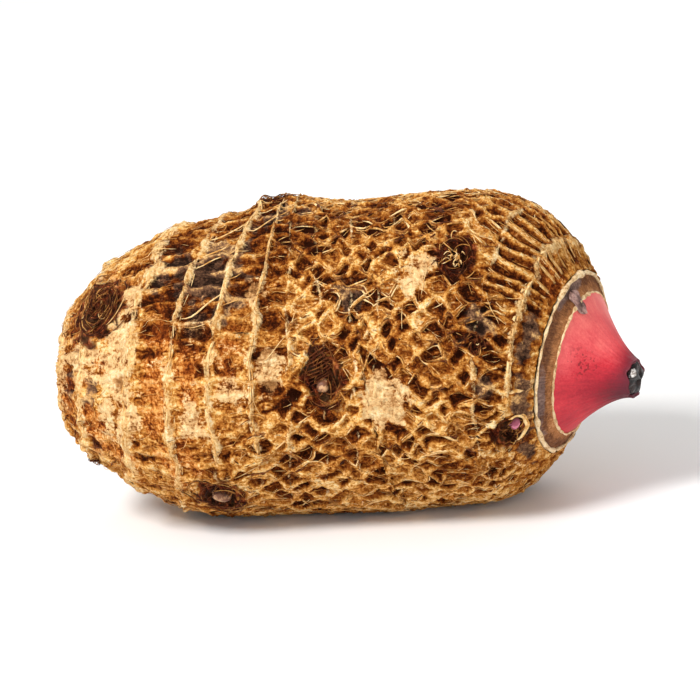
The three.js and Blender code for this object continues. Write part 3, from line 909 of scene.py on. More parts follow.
def web_rods():
    """Fibres that feel their way along the webs."""
    run = chance.uniform(*WEB_FIBRES_REACH, WEB_FIBRES)
    angle = chance.uniform(0, 2 * math.pi, WEB_FIBRES)
    heading = chance.normal(0, 0.35, WEB_FIBRES)
    beside = chance.uniform(0, 0.6, WEB_FIBRES)
    trail = []
    for _ in range(WEB_STEPS):
        best = np.full(WEB_FIBRES, 9.0)
        turned = heading.copy()
        for turn in TURNS:
            way = heading + turn
            ahead_station = station_of(run + LOOK_AHEAD * np.cos(way))
            ahead_angle = angle + LOOK_AHEAD * np.sin(way) / np.maximum(body_radius(ahead_station), 5)
            edge, _ = cells(*crooked(ahead_station, ahead_angle))
            cost = np.abs(edge - beside) + 0.3 * abs(turn) + 2 * np.maximum(np.abs(way) - STEEPEST, 0)
            turned = np.where(cost < best, way, turned)
            best = np.minimum(cost, best)
        heading = turned
        run = run + WEB_STEP * np.cos(heading)
        angle = angle + WEB_STEP * np.sin(heading) / np.maximum(body_radius(station_of(run)), 5)
        trail.append((run, angle))
    runs, angles = np.array(trail).transpose(1, 2, 0)
    stations = station_of(np.clip(runs, 0.5, FULL_RUN))
    alongs = stations + ring_lean(stations, angles)
    worn = patches("cream", alongs, angles)
    rusty = patches("rust", alongs, angles)
    shade = patches("dark", alongs, angles)
    edge, _ = cells(*crooked(stations, angles))
    inside = edge - web_half_width(stations, angles)
    thin = np.interp(stations, [0, 22, 42, 76, 80], [0.5, 0.7, 1, 1, 0.7])
    tones = 0.62 + 0.12 * wander(runs, angles, 7, 25) + chance.normal(0, 0.15, WEB_FIBRES)[:, None]
    # Fibres under the dark spots are darker too, partly as painted shade, and fibres down in the cells are
    # darker, partly as painted shade.
    tones = tones + 0.1 * (worn > 0) - 0.25 * smooth_step(-0.2, 0.7, shade)
    tones = tones - 0.2 * smooth_step(0, 0.5, inside)
    bold = chance.uniform(0, 1, WEB_FIBRES) > 0.8
    girths = np.where(bold, chance.uniform(0.12, 0.2, WEB_FIBRES), chance.uniform(0.05, 0.11, WEB_FIBRES))
    lifts = WEB_HEIGHT * (1 - smooth_step(-0.45, 0.4, inside)) - 0.03 + 0.05 * wander(runs, angles, 3, 26)
    lengths = chance.integers(5, WEB_STEPS + 1, WEB_FIBRES)
    keeps = (inside < 0.3) & (worn < 0.05) & (rusty < 0.3) & (eye_gap(alongs, angles) > 0.95)
    still = patches("calm", alongs, angles) - chance.uniform(0, 1.6, WEB_FIBRES)[:, None]
    keeps &= (still < 0) & (patches("slate", alongs, angles) < 0)
    keeps &= scar_count(stations, angles) < net_start(angles) + 1
    keeps &= np.arange(WEB_STEPS)[None] < lengths[:, None]
    for row in zip(keeps, stations, angles, girths[:, None] * thin, tones, lifts):
        yield from stretches(*row)


def strand_rods():
    """Bundles of fibres along the strands of the net."""
    count = STRANDS * len(BESIDE_STRAND)
    number = np.repeat(np.arange(STRANDS), len(BESIDE_STRAND))[:, None]
    station = np.arange(*STRANDS_REACH, STRAND_STEP)[None, :] + 0 * number
    phase = chance.uniform(0, 2 * math.pi, (count, 3, 1))
    strays = 0.14 * np.sin(0.9 * station + phase[:, 0]) + 0.1 * np.sin(2.1 * station + phase[:, 1])
    sideways = np.tile(BESIDE_STRAND, STRANDS)[:, None] + strays
    goal = number + strand_swing(number, station)
    angle = goal * 2 * math.pi / STRANDS
    for _ in range(8):  # until the angle's even place is the goal
        angle = angle + (goal - even_place(angle)) * 2 * math.pi / STRANDS / 1.15
    angle = angle + sideways / body_radius(station)
    stations, angles = crooked_back(station, angle)
    alongs = stations + ring_lean(stations, angles)
    worn = patches("cream", alongs, angles)
    shade = patches("dark", alongs, angles)
    tones = 0.7 + 0.12 * wander(alongs, angles, 6, 25) + chance.normal(0, 0.16, count)[:, None]
    # Fibres under the dark spots are darker too, partly as painted shade.
    tones = tones + 0.24 * np.sin(0.9 * station + phase[:, 2]) - 0.22 * smooth_step(-0.2, 0.7, shade)
    girths = chance.uniform(0.08, 0.24, count)[:, None] * (1 + 0.5 * np.sin(1.9 * station + phase[:, 0]))
    lifts = WEB_HEIGHT - 0.08 + 0.12 * np.sin(1.3 * station + phase[:, 1]) - 0.25 * np.abs(sideways)
    luck = np.sin(0.9 * station + phase[:, 0]) + np.sin(1.7 * station + phase[:, 2])
    keeps = (luck > -0.55) & (worn < 0.1) & (eye_gap(alongs, angles) > 0.95)
    keeps &= scar_count(stations, angles) > net_start(angles)
    keeps &= (ladder(stations, angles)[0] < 0.5) & (stations < NET_END)
    for row in zip(keeps, stations, angles, girths, tones, lifts):
        yield from stretches(*row)


strand_net = rods_piece("strand_net", [*strand_rods(), *web_rods()], sides=3, flatness=0.5)
dress_fibre(strand_net)


# ---- The fine fibres ------------------------------------------------------------------------
# Finer veins and torn bits of leaf base cross the net, stuck down over the cells and the webs.
# Pale threads run slantwise over the bare cells near the tail, and near the crown straight
# strands run from scar to scar, like the rungs of a ladder.
FINE_FIBRES = 2600
THREADS = 150
THREADED_ROWS = (5, 8)  # the rows of cells that they lie over, the second not included
SCAR_FIBRES = 4
FAINT_SCAR = 0.6  # a scar that shows less than this has none
BRISTLES = 46
# Stubs of broken rootlets: mm from the tail and degrees round.
ROOTLETS = [(9, 203), (10, 207), (4, 199), (5.5, 206), (13, 212), (16, 224), (11, 30), (24, 260), (7, 300)]
RUNG_FIBRES = 4


def even_rod(stations, angles, girth, tone, lift):
    """A rod of the same girth and tone all along."""
    count = len(stations)
    return [stations, angles, np.full(count, girth), np.full(count, tone), lift + np.zeros(count)]


def fine_rods():
    """Short thin fibres that lie about anyhow, mostly along the corm."""
    for _ in range(FINE_FIBRES):
        run = chance.uniform(7, FULL_RUN - 4)
        angle = chance.uniform(0, 2 * math.pi)
        length = chance.uniform(1.4, 4.5)
        heading = chance.normal(0, 0.9 if run < 48 else 0.55)
        steps = max(int(length / 0.6), 4)
        travel = np.linspace(-0.5, 0.5, steps) * length
        curl = chance.normal(0, 0.16)
        runs = run + np.cumsum(np.cos(heading + curl * travel)) * length / steps
        near = max(float(body_radius(station_of(run))), 6)
        angles = angle + np.cumsum(np.sin(heading + curl * travel)) * length / steps / near
        runs = np.clip(runs, 1.5, FULL_RUN - 0.5)
        stations = station_of(runs)
        along = stations + ring_lean(stations, angles)
        keep = (patches("cream", along, angles) < 0.1) & (eye_gap(along, angles) > 0.8)
        keep &= (patches("slate", along, angles) < 0) & (stations < COLLAR_STRIP[0])
        girth = chance.uniform(0.045, 0.1)
        tone = np.clip(chance.normal(0.6, 0.16), 0.03, 0.95)
        lift = chance.uniform(-0.05, 0.25) + 0.1 * wander(runs, angles, 1.8, 71)
        yield from stretches(keep, *even_rod(stations, angles, girth, tone, lift))


def thread_rods():
    """Slanting pale threads over the dark cells between the tail's rings."""
    for _ in range(THREADS):
        row = chance.integers(*THREADED_ROWS)
        start, end = ROW_EDGES[row], ROW_EDGES[row + 1]
        slant = chance.normal(-0.12, 0.04)
        angles = chance.uniform(0, 2 * math.pi) + slant * np.linspace(0, 1, 10)
        stations = scar_place(np.linspace(start - 0.2, end + 0.2, 10), angles)
        angles = angles + 0.015 * wander(stations, angles, 3, 74)
        girth = chance.uniform(0.1, 0.18)
        tone = np.clip(chance.normal(0.86, 0.08), 0.3, 0.98)
        along = stations + ring_lean(stations, angles)
        keep = (eye_gap(along, angles) > 1.0) & (patches("cream", along, angles) < 0.3)
        keep &= patches("slate", along, angles) > chance.uniform(-0.6, 0)
        yield from stretches(keep, *even_rod(stations, angles, girth, tone, 0.14))


def bristle_rods():
    """Stray stiff pale hairs, and the stubs of rootlets near the tail."""
    for _ in range(BRISTLES):
        run = chance.uniform(20, FULL_RUN - 8)
        heading = chance.normal(0, 0.8)
        travel = np.linspace(0, chance.uniform(2.5, 6), 8)
        angle = chance.uniform(0, 2 * math.pi)
        stations = station_of(run + travel * math.cos(heading))
        angles = angle + travel * math.sin(heading) / BODY_RADIUS + 0.01 * np.sin(travel)
        lift = 0.3 + chance.uniform(0, 0.5) * np.sin(math.pi * travel / travel[-1])
        yield even_rod(stations, angles, chance.uniform(0.06, 0.09), chance.uniform(0.75, 0.98), lift)
    for along, degrees in ROOTLETS:
        travel = np.linspace(0, 1, 9)
        stations = along + chance.uniform(-1.5, 1.5) * travel
        angles = math.radians(degrees) + chance.uniform(-2.5, 2.5) * travel / BODY_RADIUS
        angles = angles + 0.02 * np.sin(9 * travel)
        lift = -0.2 + chance.uniform(0.7, 1.5) * travel
        yield [stations, angles, 0.3 - 0.18 * travel, np.full(9, chance.uniform(0.02, 0.3)), lift]


def ladder_rods():
    """Bundles of straight fibres from scar to scar, on the back near the crown."""
    for start, end in ((LADDER_START, LADDER_SCAR + 0.1), (LADDER_SCAR + 0.4, BODY_LENGTH - 0.8)):
        for rung in range(int(RUNGS * LADDER_FROM / 360) - 1, int(RUNGS * LADDER_TO / 360) + 2):
            for _ in range(RUNG_FIBRES):
                stations = np.linspace(start - 0.1, end + chance.uniform(-0.3, 0.1), 9)
                angles = np.full(9, 2 * math.pi * rung / RUNGS)
                angles = angles - 0.18 * wander(stations, angles, 4, 222) * 2 * math.pi / RUNGS
                angles = angles + chance.normal(0, 0.011) + chance.normal(0, 0.0012) * (stations - start)
                tone = np.clip(chance.normal(0.78, 0.12), 0.2, 0.98)
                keep = ladder(stations, angles)[0] > -1 + 1.3 * (np.degrees(angles) > LADDER_TO)
                rod = even_rod(stations, angles, chance.uniform(0.1, 0.17), tone, chance.uniform(0.12, 0.3))
                yield from stretches(keep, *rod)


def scar_rods():
    """Fibres along the crest of each leaf scar."""
    for number, (ring, half_width, _, shows) in enumerate(RINGS):
        if shows < FAINT_SCAR:
            continue
        for _ in range(SCAR_FIBRES):
            angles = np.linspace(0, 2 * math.pi, 300)
            phase = chance.uniform(0, 2 * math.pi, 3)
            beside = chance.normal(0, 0.5 * half_width) + 0.18 * np.sin(7 * angles + phase[0])
            beside = beside + 0.1 * np.sin(19 * angles + phase[1])
            strays = SCAR_WANDER * wander(ring + 0 * angles, angles, 6, SCAR_SEEDS + number)
            stations = scar_place(ring - strays + beside, angles)
            along = stations + ring_lean(stations, angles)
            luck = np.sin(5 * angles + phase[1]) + np.sin(13 * angles + phase[2])
            keep = (luck > -0.3 - 1.1 * shows) & (eye_gap(along, angles) > 0.95)
            keep &= (patches("rust", along, angles) < 1.0) & (scar_shows(ring, angles) > 0.5)
            girth = chance.uniform(0.11, 0.2) * (1 + 0.3 * np.sin(11 * angles + phase[0]))
            tone = chance.normal(0.9, 0.06) + 0.1 * np.sin(17 * angles + phase[2])
            lift = chance.uniform(-0.04, 0.08) + 0.06 * np.sin(9 * angles + phase[2]) - 0.3 * np.abs(beside)
            yield from stretches(keep, stations, angles, girth, np.clip(tone, 0.3, 0.99), lift)


fine_fibres = [*scar_rods(), *fine_rods(), *thread_rods(), *bristle_rods(), *ladder_rods()]
dress_fibre(rods_piece("fine_fibres", fine_fibres, sides=3))


# ---- The eyes -------------------------------------------------------------------------------
# An eye is a sleeping bud in a dimple, wrapped in the shrunken scales and fibres of its own small
# leaves. Dark threads coil round each one, and on some the bud's own tip shows in the middle.
COILED_EYE, SCALED_EYE, OPEN_EYE, TUFTED_EYE, RIMMED_EYE = EYES[0], EYES[2], EYES[3], EYES[4], EYES[5]
EYE_THREADS = 46  # round each eye, and twice as many round the coiled one
TUFT_HAIRS = 24
SCALE_RIDGES = 9
SCALE_SPACING = 0.6  # mm between the ridges of the scale on the middle eye
SMALL_BUD_MESH = (14, 28)  # points up it and round it
# The buds that show: the eye, mm towards the crown and mm round from its middle, radius, height
# and share of pink.
BUDS = [(2, -0.3, 1.5, 1.0, 0.6, 0.0), (3, 0.3, -0.5, 1.5, 1.3, 0.0), (5, 1.1, -1.0, 1.0, 0.9, 1.0),
        (6, 0, 0, 1.1, 0.9, 0.2), (8, 0, 0, 1.0, 0.9, 0.5), (9, 0, 0, 1.0, 0.9, 0.3),
        (11, 0, 0, 0.9, 0.9, 0.8)]


def near_eye(eye, ahead, beside):
    """The station and angle of a place so many mm ahead of an eye and beside it."""
    along = np.clip(eye[0] + np.asarray(ahead, float), 0.8, BODY_LENGTH - 0.5)
    angle = math.radians(eye[1]) + np.asarray(beside, float) / max(float(body_radius(eye[0])), 6)
    station = along
    for _ in range(3):
        station = along - ring_lean(station, angle)
    return station, angle


def eye_rods():
    """The threads round every eye, a tuft of hairs on one and the ridges of a scale on another."""
    for eye, (half_length, half_width, _) in zip(EYES, EYE_SHAPES):
        coiled, open_middle = eye == COILED_EYE, eye == OPEN_EYE
        palest = 0.4 if eye == SCALED_EYE else 0.9
        for _ in range(2 * EYE_THREADS if coiled else EYE_THREADS):
            steps = 12
            arc = np.linspace(0, chance.uniform(0.4, 2.2 if coiled else 1.7), steps)
            arc = arc + chance.uniform(0, 2 * math.pi)
            reach = chance.uniform(0.5 if open_middle else 0.15, 0.85 if coiled else 1.05)
            reach = reach * (1 + chance.normal(0, 0.36) * np.linspace(-1, 1, steps))
            off = chance.normal(0, 0.9 if coiled else 0.4, 2) + ((0.9, -0.4) if coiled else (0, 0))
            station, angle = near_eye(eye, half_length * reach * np.cos(arc) + off[0],
                                      half_width * reach * np.sin(arc) + off[1])
            girth = chance.uniform(0.05, 0.12)
            tone = np.clip(chance.normal(0.27, 0.24), 0.02, palest)
            lift = chance.uniform(-0.2, 0.25) + 0.12 * np.sin(2 * arc)
            yield even_rod(station, angle, girth, tone, lift)
    for _ in range(TUFT_HAIRS):
        steps = 14
        start = chance.normal(0, (0.6, 1.0), 2) + (-0.3, 0.2)
        bend, turn = chance.uniform(0.5, 1.1), chance.uniform(0, 2 * math.pi)
        arc = turn + chance.choice([-1, 1]) * np.linspace(0, chance.uniform(0.9, 2.3), steps)
        ahead = start[0] + bend * (np.cos(arc) - math.cos(turn))
        beside = start[1] + bend * (np.sin(arc) - math.sin(turn))
        station, angle = near_eye(TUFTED_EYE, ahead, beside)
        lift = chance.uniform(0.0, 0.4)
        lift = lift + chance.uniform(0.2, 1.1) * np.sin(math.pi * np.linspace(0, 0.9, steps))
        yield even_rod(station, angle, chance.uniform(0.08, 0.14), chance.uniform(0.7, 0.98), lift)
    for number in range(SCALE_RIDGES):
        travel = np.linspace(-1, 1, 10)
        beside = SCALE_SPACING * (number - SCALE_RIDGES / 2)
        ahead = -0.4 + (2.6 - 0.35 * abs(beside)) * travel
        station, angle = near_eye(SCALED_EYE, ahead, -1.6 + beside - 0.9 * travel)
        yield even_rod(station, angle, 0.13, chance.uniform(0.06, 0.3), 0.1 + 0.3 * (1 - travel ** 2))


def rim_rods():
    """The pale swollen lip that half closes the eye next to the collar, and two bars beside it."""
    for reach, start, end, girth, tone in ((2.8, -1.2, 1.5, 0.3, 0.93), (3.2, -0.9, 1.1, 0.2, 0.75)):
        arc = np.linspace(start, end, 22)
        reach = reach * (1 + 0.025 * np.sin(7 * arc))
        station, angle = near_eye(RIMMED_EYE, 0.7 * reach * np.cos(arc) + 0.7, reach * np.sin(arc) - 0.4)
        yield [station, angle, girth * (1 - 0.45 * np.abs(arc) / 1.5), np.full(22, tone), np.full(22, 0.2)]
    for beside, girth in ((-7.7, 0.3), (-2.9, 0.18)):
        beside = beside + 0.1 * np.sin(np.arange(10))
        station, angle = near_eye(RIMMED_EYE, np.linspace(0.2, 2.2, 10), beside)
        yield even_rod(station, angle, girth, 0.9, 0.4)


dress_fibre(rods_piece("eye_threads", list(eye_rods()), sides=3))
dress_fibre(rods_piece("eye_lip", list(rim_rods()), sides=8))


def eye_bud_finish():
    tip = Finish("bud_tip", roughness=0.5, Specular_IOR_Level=0.4)
    mottle = tip.noise(900, 3, 0.6)
    beige = tip.mix(tip.between(mottle, 0.38, 0.6), linear(206, 158, 112), linear(112, 66, 40))
    pink = tip.mix(tip.between(mottle, 0.4, 0.65), linear(216, 128, 150), linear(150, 68, 88))
    colour = tip.mix(tip.kept("pink"), beige, pink)
    colour = tip.mix(tip.between(tip.kept("up"), 0.0, 0.55, 0.75, 0), colour, linear(60, 28, 18))
    return tip.finish(colour, None, tip.bump(mottle, 0.3))


def round_grid(rows, columns):
    """Shares from 0 to 1 down the rows, and angles once round over the columns."""
    return np.linspace(0, 1, rows)[:, None], (2 * math.pi * np.arange(columns) / columns)[None, :]


def bud_points(eye, ahead, beside, radius, height):
    """The points of a small bud's lumpy dome, which stands straight out of the skin."""
    station, angle = near_eye(eye, ahead, beside)
    station, angle = np.array([float(station)]), np.array([float(angle)])
    middle, out = body_point(station, angle)[0], outwards(station, angle)[0]
    along = np.cross(out, np.array([0.0, 0.3, 1.0]))
    along /= np.linalg.norm(along)
    across = np.cross(out, along)
    share, turn = round_grid(*SMALL_BUD_MESH)
    scale = 1 + 0.1 * np.sin(3 * turn + 5 * share)
    reach = (radius * np.cos(share * math.pi / 2) ** 0.8 * scale)[..., None]
    rise = (height * np.sin(share * math.pi / 2) - 0.3 + 0 * turn)[..., None]
    sideways = np.cos(turn)[..., None] * along + 1.3 * np.sin(turn)[..., None] * across
    return middle + rise * out + reach * sideways


bud_tip = eye_bud_finish()
for number, (eye, ahead, beside, radius, rise, pink_share) in enumerate(BUDS):
    points = bud_points(EYES[eye], ahead, beside, radius, rise)
    small_bud = grid_piece("eye_bud_%d" % (number + 1), points)
    level = np.broadcast_to(np.linspace(0, 1, points.shape[0])[:, None], points.shape[:2])
    keep_on_points(small_bud, up=level, pink=0 * level + pink_share)
    small_bud.data.materials.append(bud_tip)
    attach(small_bud, "root")
    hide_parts("corm")


# ---- The collar -----------------------------------------------------------------------------
# Where the last leaf bases were cut or broken off, the skin ends in a pale corky rim. Inside it
# lies the brown, finely grooved band of their scar, which rises to the edge of the pink bud.
BAND_OUT = 15.3  # its outer and inner radius, and its rise from one to the other
BAND_IN = 12.3
BAND_RISE = 2.1
BAND_START = 0.25  # mm past the collar
BAND_MESH = (14, 960)
GREY_PLACES = ((190, 0.4), (103, 0.34))  # degrees round, and how wide in radians
CONE_START = 2.2  # where the pink bud starts past the collar, its length, and how its tip droops
CONE_LENGTH = 8.6
TIP_DROP = 1.5
RIM_MESH = (360, 10)  # points round the crown and round the rim itself
RIM_LUMPS = ((95, 1.1), (225, 0.9))  # degrees round, and how much thicker
crown_centre, crown_axis, crown_side, crown_up = (part[0] for part in middle_frame(np.array([BODY_LENGTH])))


def crown_point(offset, radius, angle):
    """A point of the crown: so far out along its own axis, which droops, and so far from it."""
    offset, radius, angle = np.broadcast_arrays(offset, radius, angle)
    reach = radius * (1 - COLLAR_FLAT / COLLAR_RADIUS * flat_side(angle))
    across = np.cos(angle)[..., None] * crown_side + np.sin(angle)[..., None] * crown_up
    share = np.clip((offset - CONE_START) / CONE_LENGTH, 0, 1)
    ahead = offset - tilt_back(BODY_LENGTH, angle) * (1 - share)
    return (crown_centre + ahead[..., None] * crown_axis - TIP_DROP * share[..., None] * crown_up
            + reach[..., None] * across)


band_share, band_turn = round_grid(*BAND_MESH)
groove = 0.07 * np.sin(190 * band_turn + 3 * np.sin(5 * band_turn))
groove = groove + 0.05 * np.sin(331 * band_turn + band_share)
band_fold = 0.3 * np.exp(-((band_share - 0.45) / 0.12) ** 2)
band_fold = band_fold * smooth_step(-0.5, 0.6, np.sin(band_turn * 2 + 1))
band_radius = BAND_OUT + (BAND_IN - BAND_OUT) * band_share + 0.12 * np.sin(5 * band_turn + 1)
band_offset = BAND_START + (BAND_RISE - BAND_START) * band_share ** 1.2
band_offset = band_offset + groove * np.sin(math.pi * band_share) ** 0.4 + band_fold
band_grey = sum(0.8 * np.exp(-(round_gap(band_turn, degrees) / width) ** 2)
                for degrees, width in GREY_PLACES)
band = grid_piece("collar_band", crown_point(band_offset, band_radius, band_turn)[::-1])
keep_on_points(band, inwards=np.broadcast_to(band_share, band_radius.shape)[::-1],
               grey=np.broadcast_to(band_grey, band_radius.shape)[::-1])


def band_finish():
    scar = Finish("leaf_scar", Specular_IOR_Level=0.3)
    ray = scar.streaks((260, 5, 1), 0.65)
    mottle = scar.noise(420, 4, 0.6)
    fine = scar.noise(1900, 3, 0.6)
    level = scar.uneven(scar.between(scar.kept("inwards"), 0.3, 1.0, 0.32, 0.62), (ray, 0.22),
                        (mottle, 0.16), (fine, 0.16))
    brown = scar.ramp(level, [(0.0, 52, 26, 14), (0.35, 122, 74, 42), (0.65, 178, 116, 66),
                              (1.0, 226, 176, 122)])
    grey = scar.ramp(level, [(0.0, 60, 46, 44), (0.4, 126, 100, 92), (1.0, 206, 178, 158)])
    grey_here = scar.total(scar.uneven(scar.kept("grey"), (mottle, 0.4)),
                           scar.between(scar.kept("inwards"), 0.3, 0.8, 0.1, -0.7))
    colour = scar.mix(scar.between(grey_here, 0.3, 0.7, 0, 0.85), brown, grey)
    rough = scar.between(fine, 0.3, 0.7, 0.85, 0.6)
    return scar.finish(colour, rough, scar.bump(ray, 0.2, scar.bump(fine, 0.08)))


band.data.materials.append(band_finish())
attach(band, "root")
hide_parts("corm")


def rim_piece(name, radius, offset, girth, seed, unevenness):
    """A thin raised edge that goes once round the crown."""
    turn, section = (2 * math.pi * np.arange(count) / count for count in RIM_MESH)
    run = np.zeros(turn.shape)
    wobble = unevenness * wander(run, turn, 4.5, seed)
    thick = girth * (1 + 0.3 * wander(run, turn, 2.2, seed + 1))
    thick = thick * (1 + sum(more * np.exp(-(round_gap(turn, degrees) / 0.5) ** 2)
                             for degrees, more in RIM_LUMPS))
    radii = radius + wobble[:, None] + thick[:, None] * np.cos(section)
    offsets = offset + 0.5 * wobble[:, None] + 1.2 * thick[:, None] * np.sin(section)
    rows = crown_point(offsets, radii, turn[:, None])
    return grid_piece(name, np.concatenate([rows, rows[:1]]))


def rim_finish():
    rim = Finish("pale_cork", Specular_IOR_Level=0.25)
    mottle = rim.noise(480, 4, 0.6)
    fine = rim.noise(2200, 3, 0.6)
    level = rim.uneven(rim.between(mottle, 0.3, 0.7, 0.85, 0.5), (fine, 0.3))
    colour = rim.ramp(level, [(0.0, 92, 56, 30), (0.35, 160, 112, 66), (0.65, 224, 188, 138),
                              (1.0, 246, 224, 184)])
    return rim.finish(colour, rim.between(fine, 0.3, 0.7, 0.85, 0.6), rim.bump(fine, 0.1))


pale_cork = rim_finish()
for name, radius, offset, girth, seed, unevenness in (("collar_rim", 15.35, 0.42, 0.2, 81, 0.05),
                                                      ("bud_edge", 12.28, 2.2, 0.13, 85, 0.05)):
    rim = rim_piece(name, radius, offset, girth, seed, unevenness)
    rim.data.materials.append(pale_cork)
    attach(rim, "root")
    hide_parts("corm")


# ---- The pink bud ---------------------------------------------------------------------------
# The crown's living bud: the cut sheath of the youngest leaves, smooth and waxy, crimson to purple
# towards its tip. It is painted salmon pink on top, where the light comes through, and darker crimson
# underneath, partly its own colour and partly painted shade. It grows out of the collar.
CONE_BASE_RADIUS = 12.2
CONE_TIP_RADIUS = 3.4
CONE_FLARE = 1.5
CONE_MESH = (90, 220)
SPECKS_AT = 157  # degrees round
cone_share, cone_turn = round_grid(*CONE_MESH)
cone_radius = CONE_TIP_RADIUS + (CONE_BASE_RADIUS - CONE_TIP_RADIUS) * (1 - cone_share) ** CONE_FLARE
ribs = 0.03 * np.sin(23 * cone_turn + 2 * np.sin(3 * cone_turn)) + 0.02 * np.sin(57 * cone_turn)
swelling = 0.22 * np.sin(2 * cone_turn + 0.7) + 0.14 * np.sin(3 * cone_turn + 2 + 2 * cone_share)
cone_radius = cone_radius + (ribs + swelling) * np.sin(math.pi * cone_share) ** 0.6
cone_offset = CONE_START + CONE_LENGTH * cone_share + 0 * cone_turn
cone_end_ragged = 0.25 * np.sin(4 * cone_turn + 1) + 0.16 * np.sin(9 * cone_turn)
cone_offset = cone_offset + cone_end_ragged * smooth_step(0.85, 1, cone_share)
cone_rows = crown_point(cone_offset, cone_radius, cone_turn)
turned_in = crown_point(cone_offset[-1:] - 0.25, cone_radius[-1:] - 0.55, cone_turn)
bud = grid_piece("pink_bud", np.concatenate([cone_rows, turned_in])[::-1])
share_kept = np.broadcast_to(cone_share, cone_radius.shape)
speck_kept = np.exp(-(round_gap(cone_turn, SPECKS_AT) / 0.3) ** 2 - ((cone_share - 0.33) / 0.2) ** 2)
# Darker towards the underside of the bud: partly its deeper crimson, partly painted shade.
low_shade_kept = np.broadcast_to(0.5 - 0.5 * np.sin(cone_turn + 0.35), cone_radius.shape)
for kept_name, kept_rows in (("outwards", share_kept), ("specks", speck_kept), ("low", low_shade_kept)):
    keep_on_points(bud, **{kept_name: np.concatenate([kept_rows, kept_rows[-1:]])[::-1]})


def bud_finish():
    pink = Finish("waxy_bud", Specular_IOR_Level=0.3, Subsurface_Weight=0.06, Subsurface_Scale=0.002)
    grain = pink.streaks((90, 5, 1))
    broad = pink.noise(130, 3, 0.5)
    fine = pink.noise(2600, 3, 0.6)
    # Deeper towards the tip, and towards the underside, where the darkening is partly painted shade.
    depth = pink.total(pink.between(pink.kept("outwards"), 0.0, 1.0, 0.1, 0.56),
                       pink.between(pink.kept("low"), 0.15, 0.95, -0.06, 0.46))
    depth = pink.uneven(depth, (broad, 0.16), (grain, 0.07), (fine, 0.08))
    colour = pink.ramp(depth, [(0.0, 250, 128, 118), (0.2, 234, 92, 94), (0.45, 206, 46, 58),
                               (0.7, 160, 20, 40), (1.0, 98, 12, 28)])
    colour = pink.mix(pink.between(pink.kept("outwards"), 0.6, 1.02, 0, 0.9), colour, linear(86, 22, 38))
    dots = pink.total(pink.kept("specks"), pink.between(pink.noise(1700, 1, 0.4), 0.5, 0.68, -0.9, 0.3))
    colour = pink.mix(pink.between(dots, 0.35, 1.1, 0, 0.65), colour, linear(96, 20, 24))
    rough = pink.between(fine, 0.3, 0.7, 0.55, 0.42)
    return pink.finish(colour, rough, pink.bump(grain, 0.07, pink.bump(fine, 0.025)))


bud.data.materials.append(bud_finish())
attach(bud, "root")
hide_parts("corm")


# ---- The dried scale ------------------------------------------------------------------------
# One shrivelled brown scale of the last leaf base still clings to the collar's band, and its tip
# lies over the edge of the pink bud.
FLAP_AT = 106  # degrees round the crown
FLAP_HALF_WIDTH = 0.1  # radians
FLAP_LENGTH = 3.4
FLAP_BASE = 14.4  # mm from the crown's axis
FLAP_THICKNESS = 0.2
flap_share = np.linspace(0, 1, 25)[:, None]
flap_across = np.linspace(-1, 1, 21)[None, :]
flap_outline = np.sqrt(1.01 - np.abs(2 * flap_share - 1) ** 3.5) * (1 + 0.2 * np.sin(8 * flap_share + 1))
flap_angle = math.radians(FLAP_AT) + FLAP_HALF_WIDTH * flap_outline * flap_across + 0.04 * flap_share
flap_radius = FLAP_BASE - FLAP_LENGTH * flap_share + 0.12 * np.sin(7 * flap_across)
flap_lift = 0.55 + 0.12 * np.sin(5 * flap_across + 3 * flap_share) - 0.2 * np.abs(flap_across) ** 2
under = np.interp(flap_radius, [9.8, 11.2, 12.2, 15.3], [3.7, 2.9, 2.2, 0.3])
flap_top = crown_point(under + flap_lift, flap_radius, flap_angle)
flap_under = crown_point(under + flap_lift - FLAP_THICKNESS, flap_radius, flap_angle)
flap = grid_piece("dried_scale", np.concatenate([flap_top, flap_under[:, ::-1]], axis=1))


def flap_finish():
    dry = Finish("dried_leaf", Specular_IOR_Level=0.25)
    mottle = dry.noise(600, 4, 0.6)
    fine = dry.noise(1900, 3, 0.6)
    level = dry.uneven(dry.between(mottle, 0.3, 0.7), (fine, 0.3))
    colour = dry.ramp(level, [(0.0, 70, 48, 40), (0.5, 134, 100, 92), (1.0, 190, 152, 140)])
    return dry.finish(colour, None, dry.bump(mottle, 0.2))


flap.data.materials.append(flap_finish())
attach(flap, "root")
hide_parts("corm")


# ---- The dried tip --------------------------------------------------------------------------
# The youngest leaves were snapped off above the bud, and their stump has dried to a dark hard
# knot, glossy where the sap ran, in the ragged mouth of the pink sheath. A near-white patch high on
# its side is partly a pale dry flake and partly a painted highlight.
STUB_RADIUS = 2.7
STUB_LENGTH = 0.9
STUB_MESH = (40, 90)
# Where the pale flake and painted highlight lies round the tip.
FLAKE_AND_HIGHLIGHT_AT = 135  # degrees round
stub_share, stub_turn = round_grid(*STUB_MESH)
stub_fold = (0.22 * np.sin(5 * stub_turn + 1.3) + 0.14 * np.sin(11 * stub_turn + 5 * stub_share)
             + 0.08 * np.sin(23 * stub_turn))
dome = np.sqrt(np.clip(1 - stub_share ** 3.2, 0, 1))
stub_radius = (STUB_RADIUS + stub_fold * (0.4 + stub_share)) * dome + 0.02
stub_offset = CONE_START + CONE_LENGTH - 0.6 + (STUB_LENGTH + 0.5) * stub_share
stub_offset = stub_offset + 0.3 * np.sin(3 * stub_turn + 0.4) * stub_share
stub = grid_piece("dried_tip", crown_point(stub_offset, stub_radius, stub_turn)[::-1], close_start=True)
flake_kept = np.exp(-(round_gap(stub_turn, FLAKE_AND_HIGHLIGHT_AT) / 0.6) ** 2 - ((stub_share - 0.6) / 0.35) ** 2)
keep_on_points(stub, flake=flake_kept[::-1])


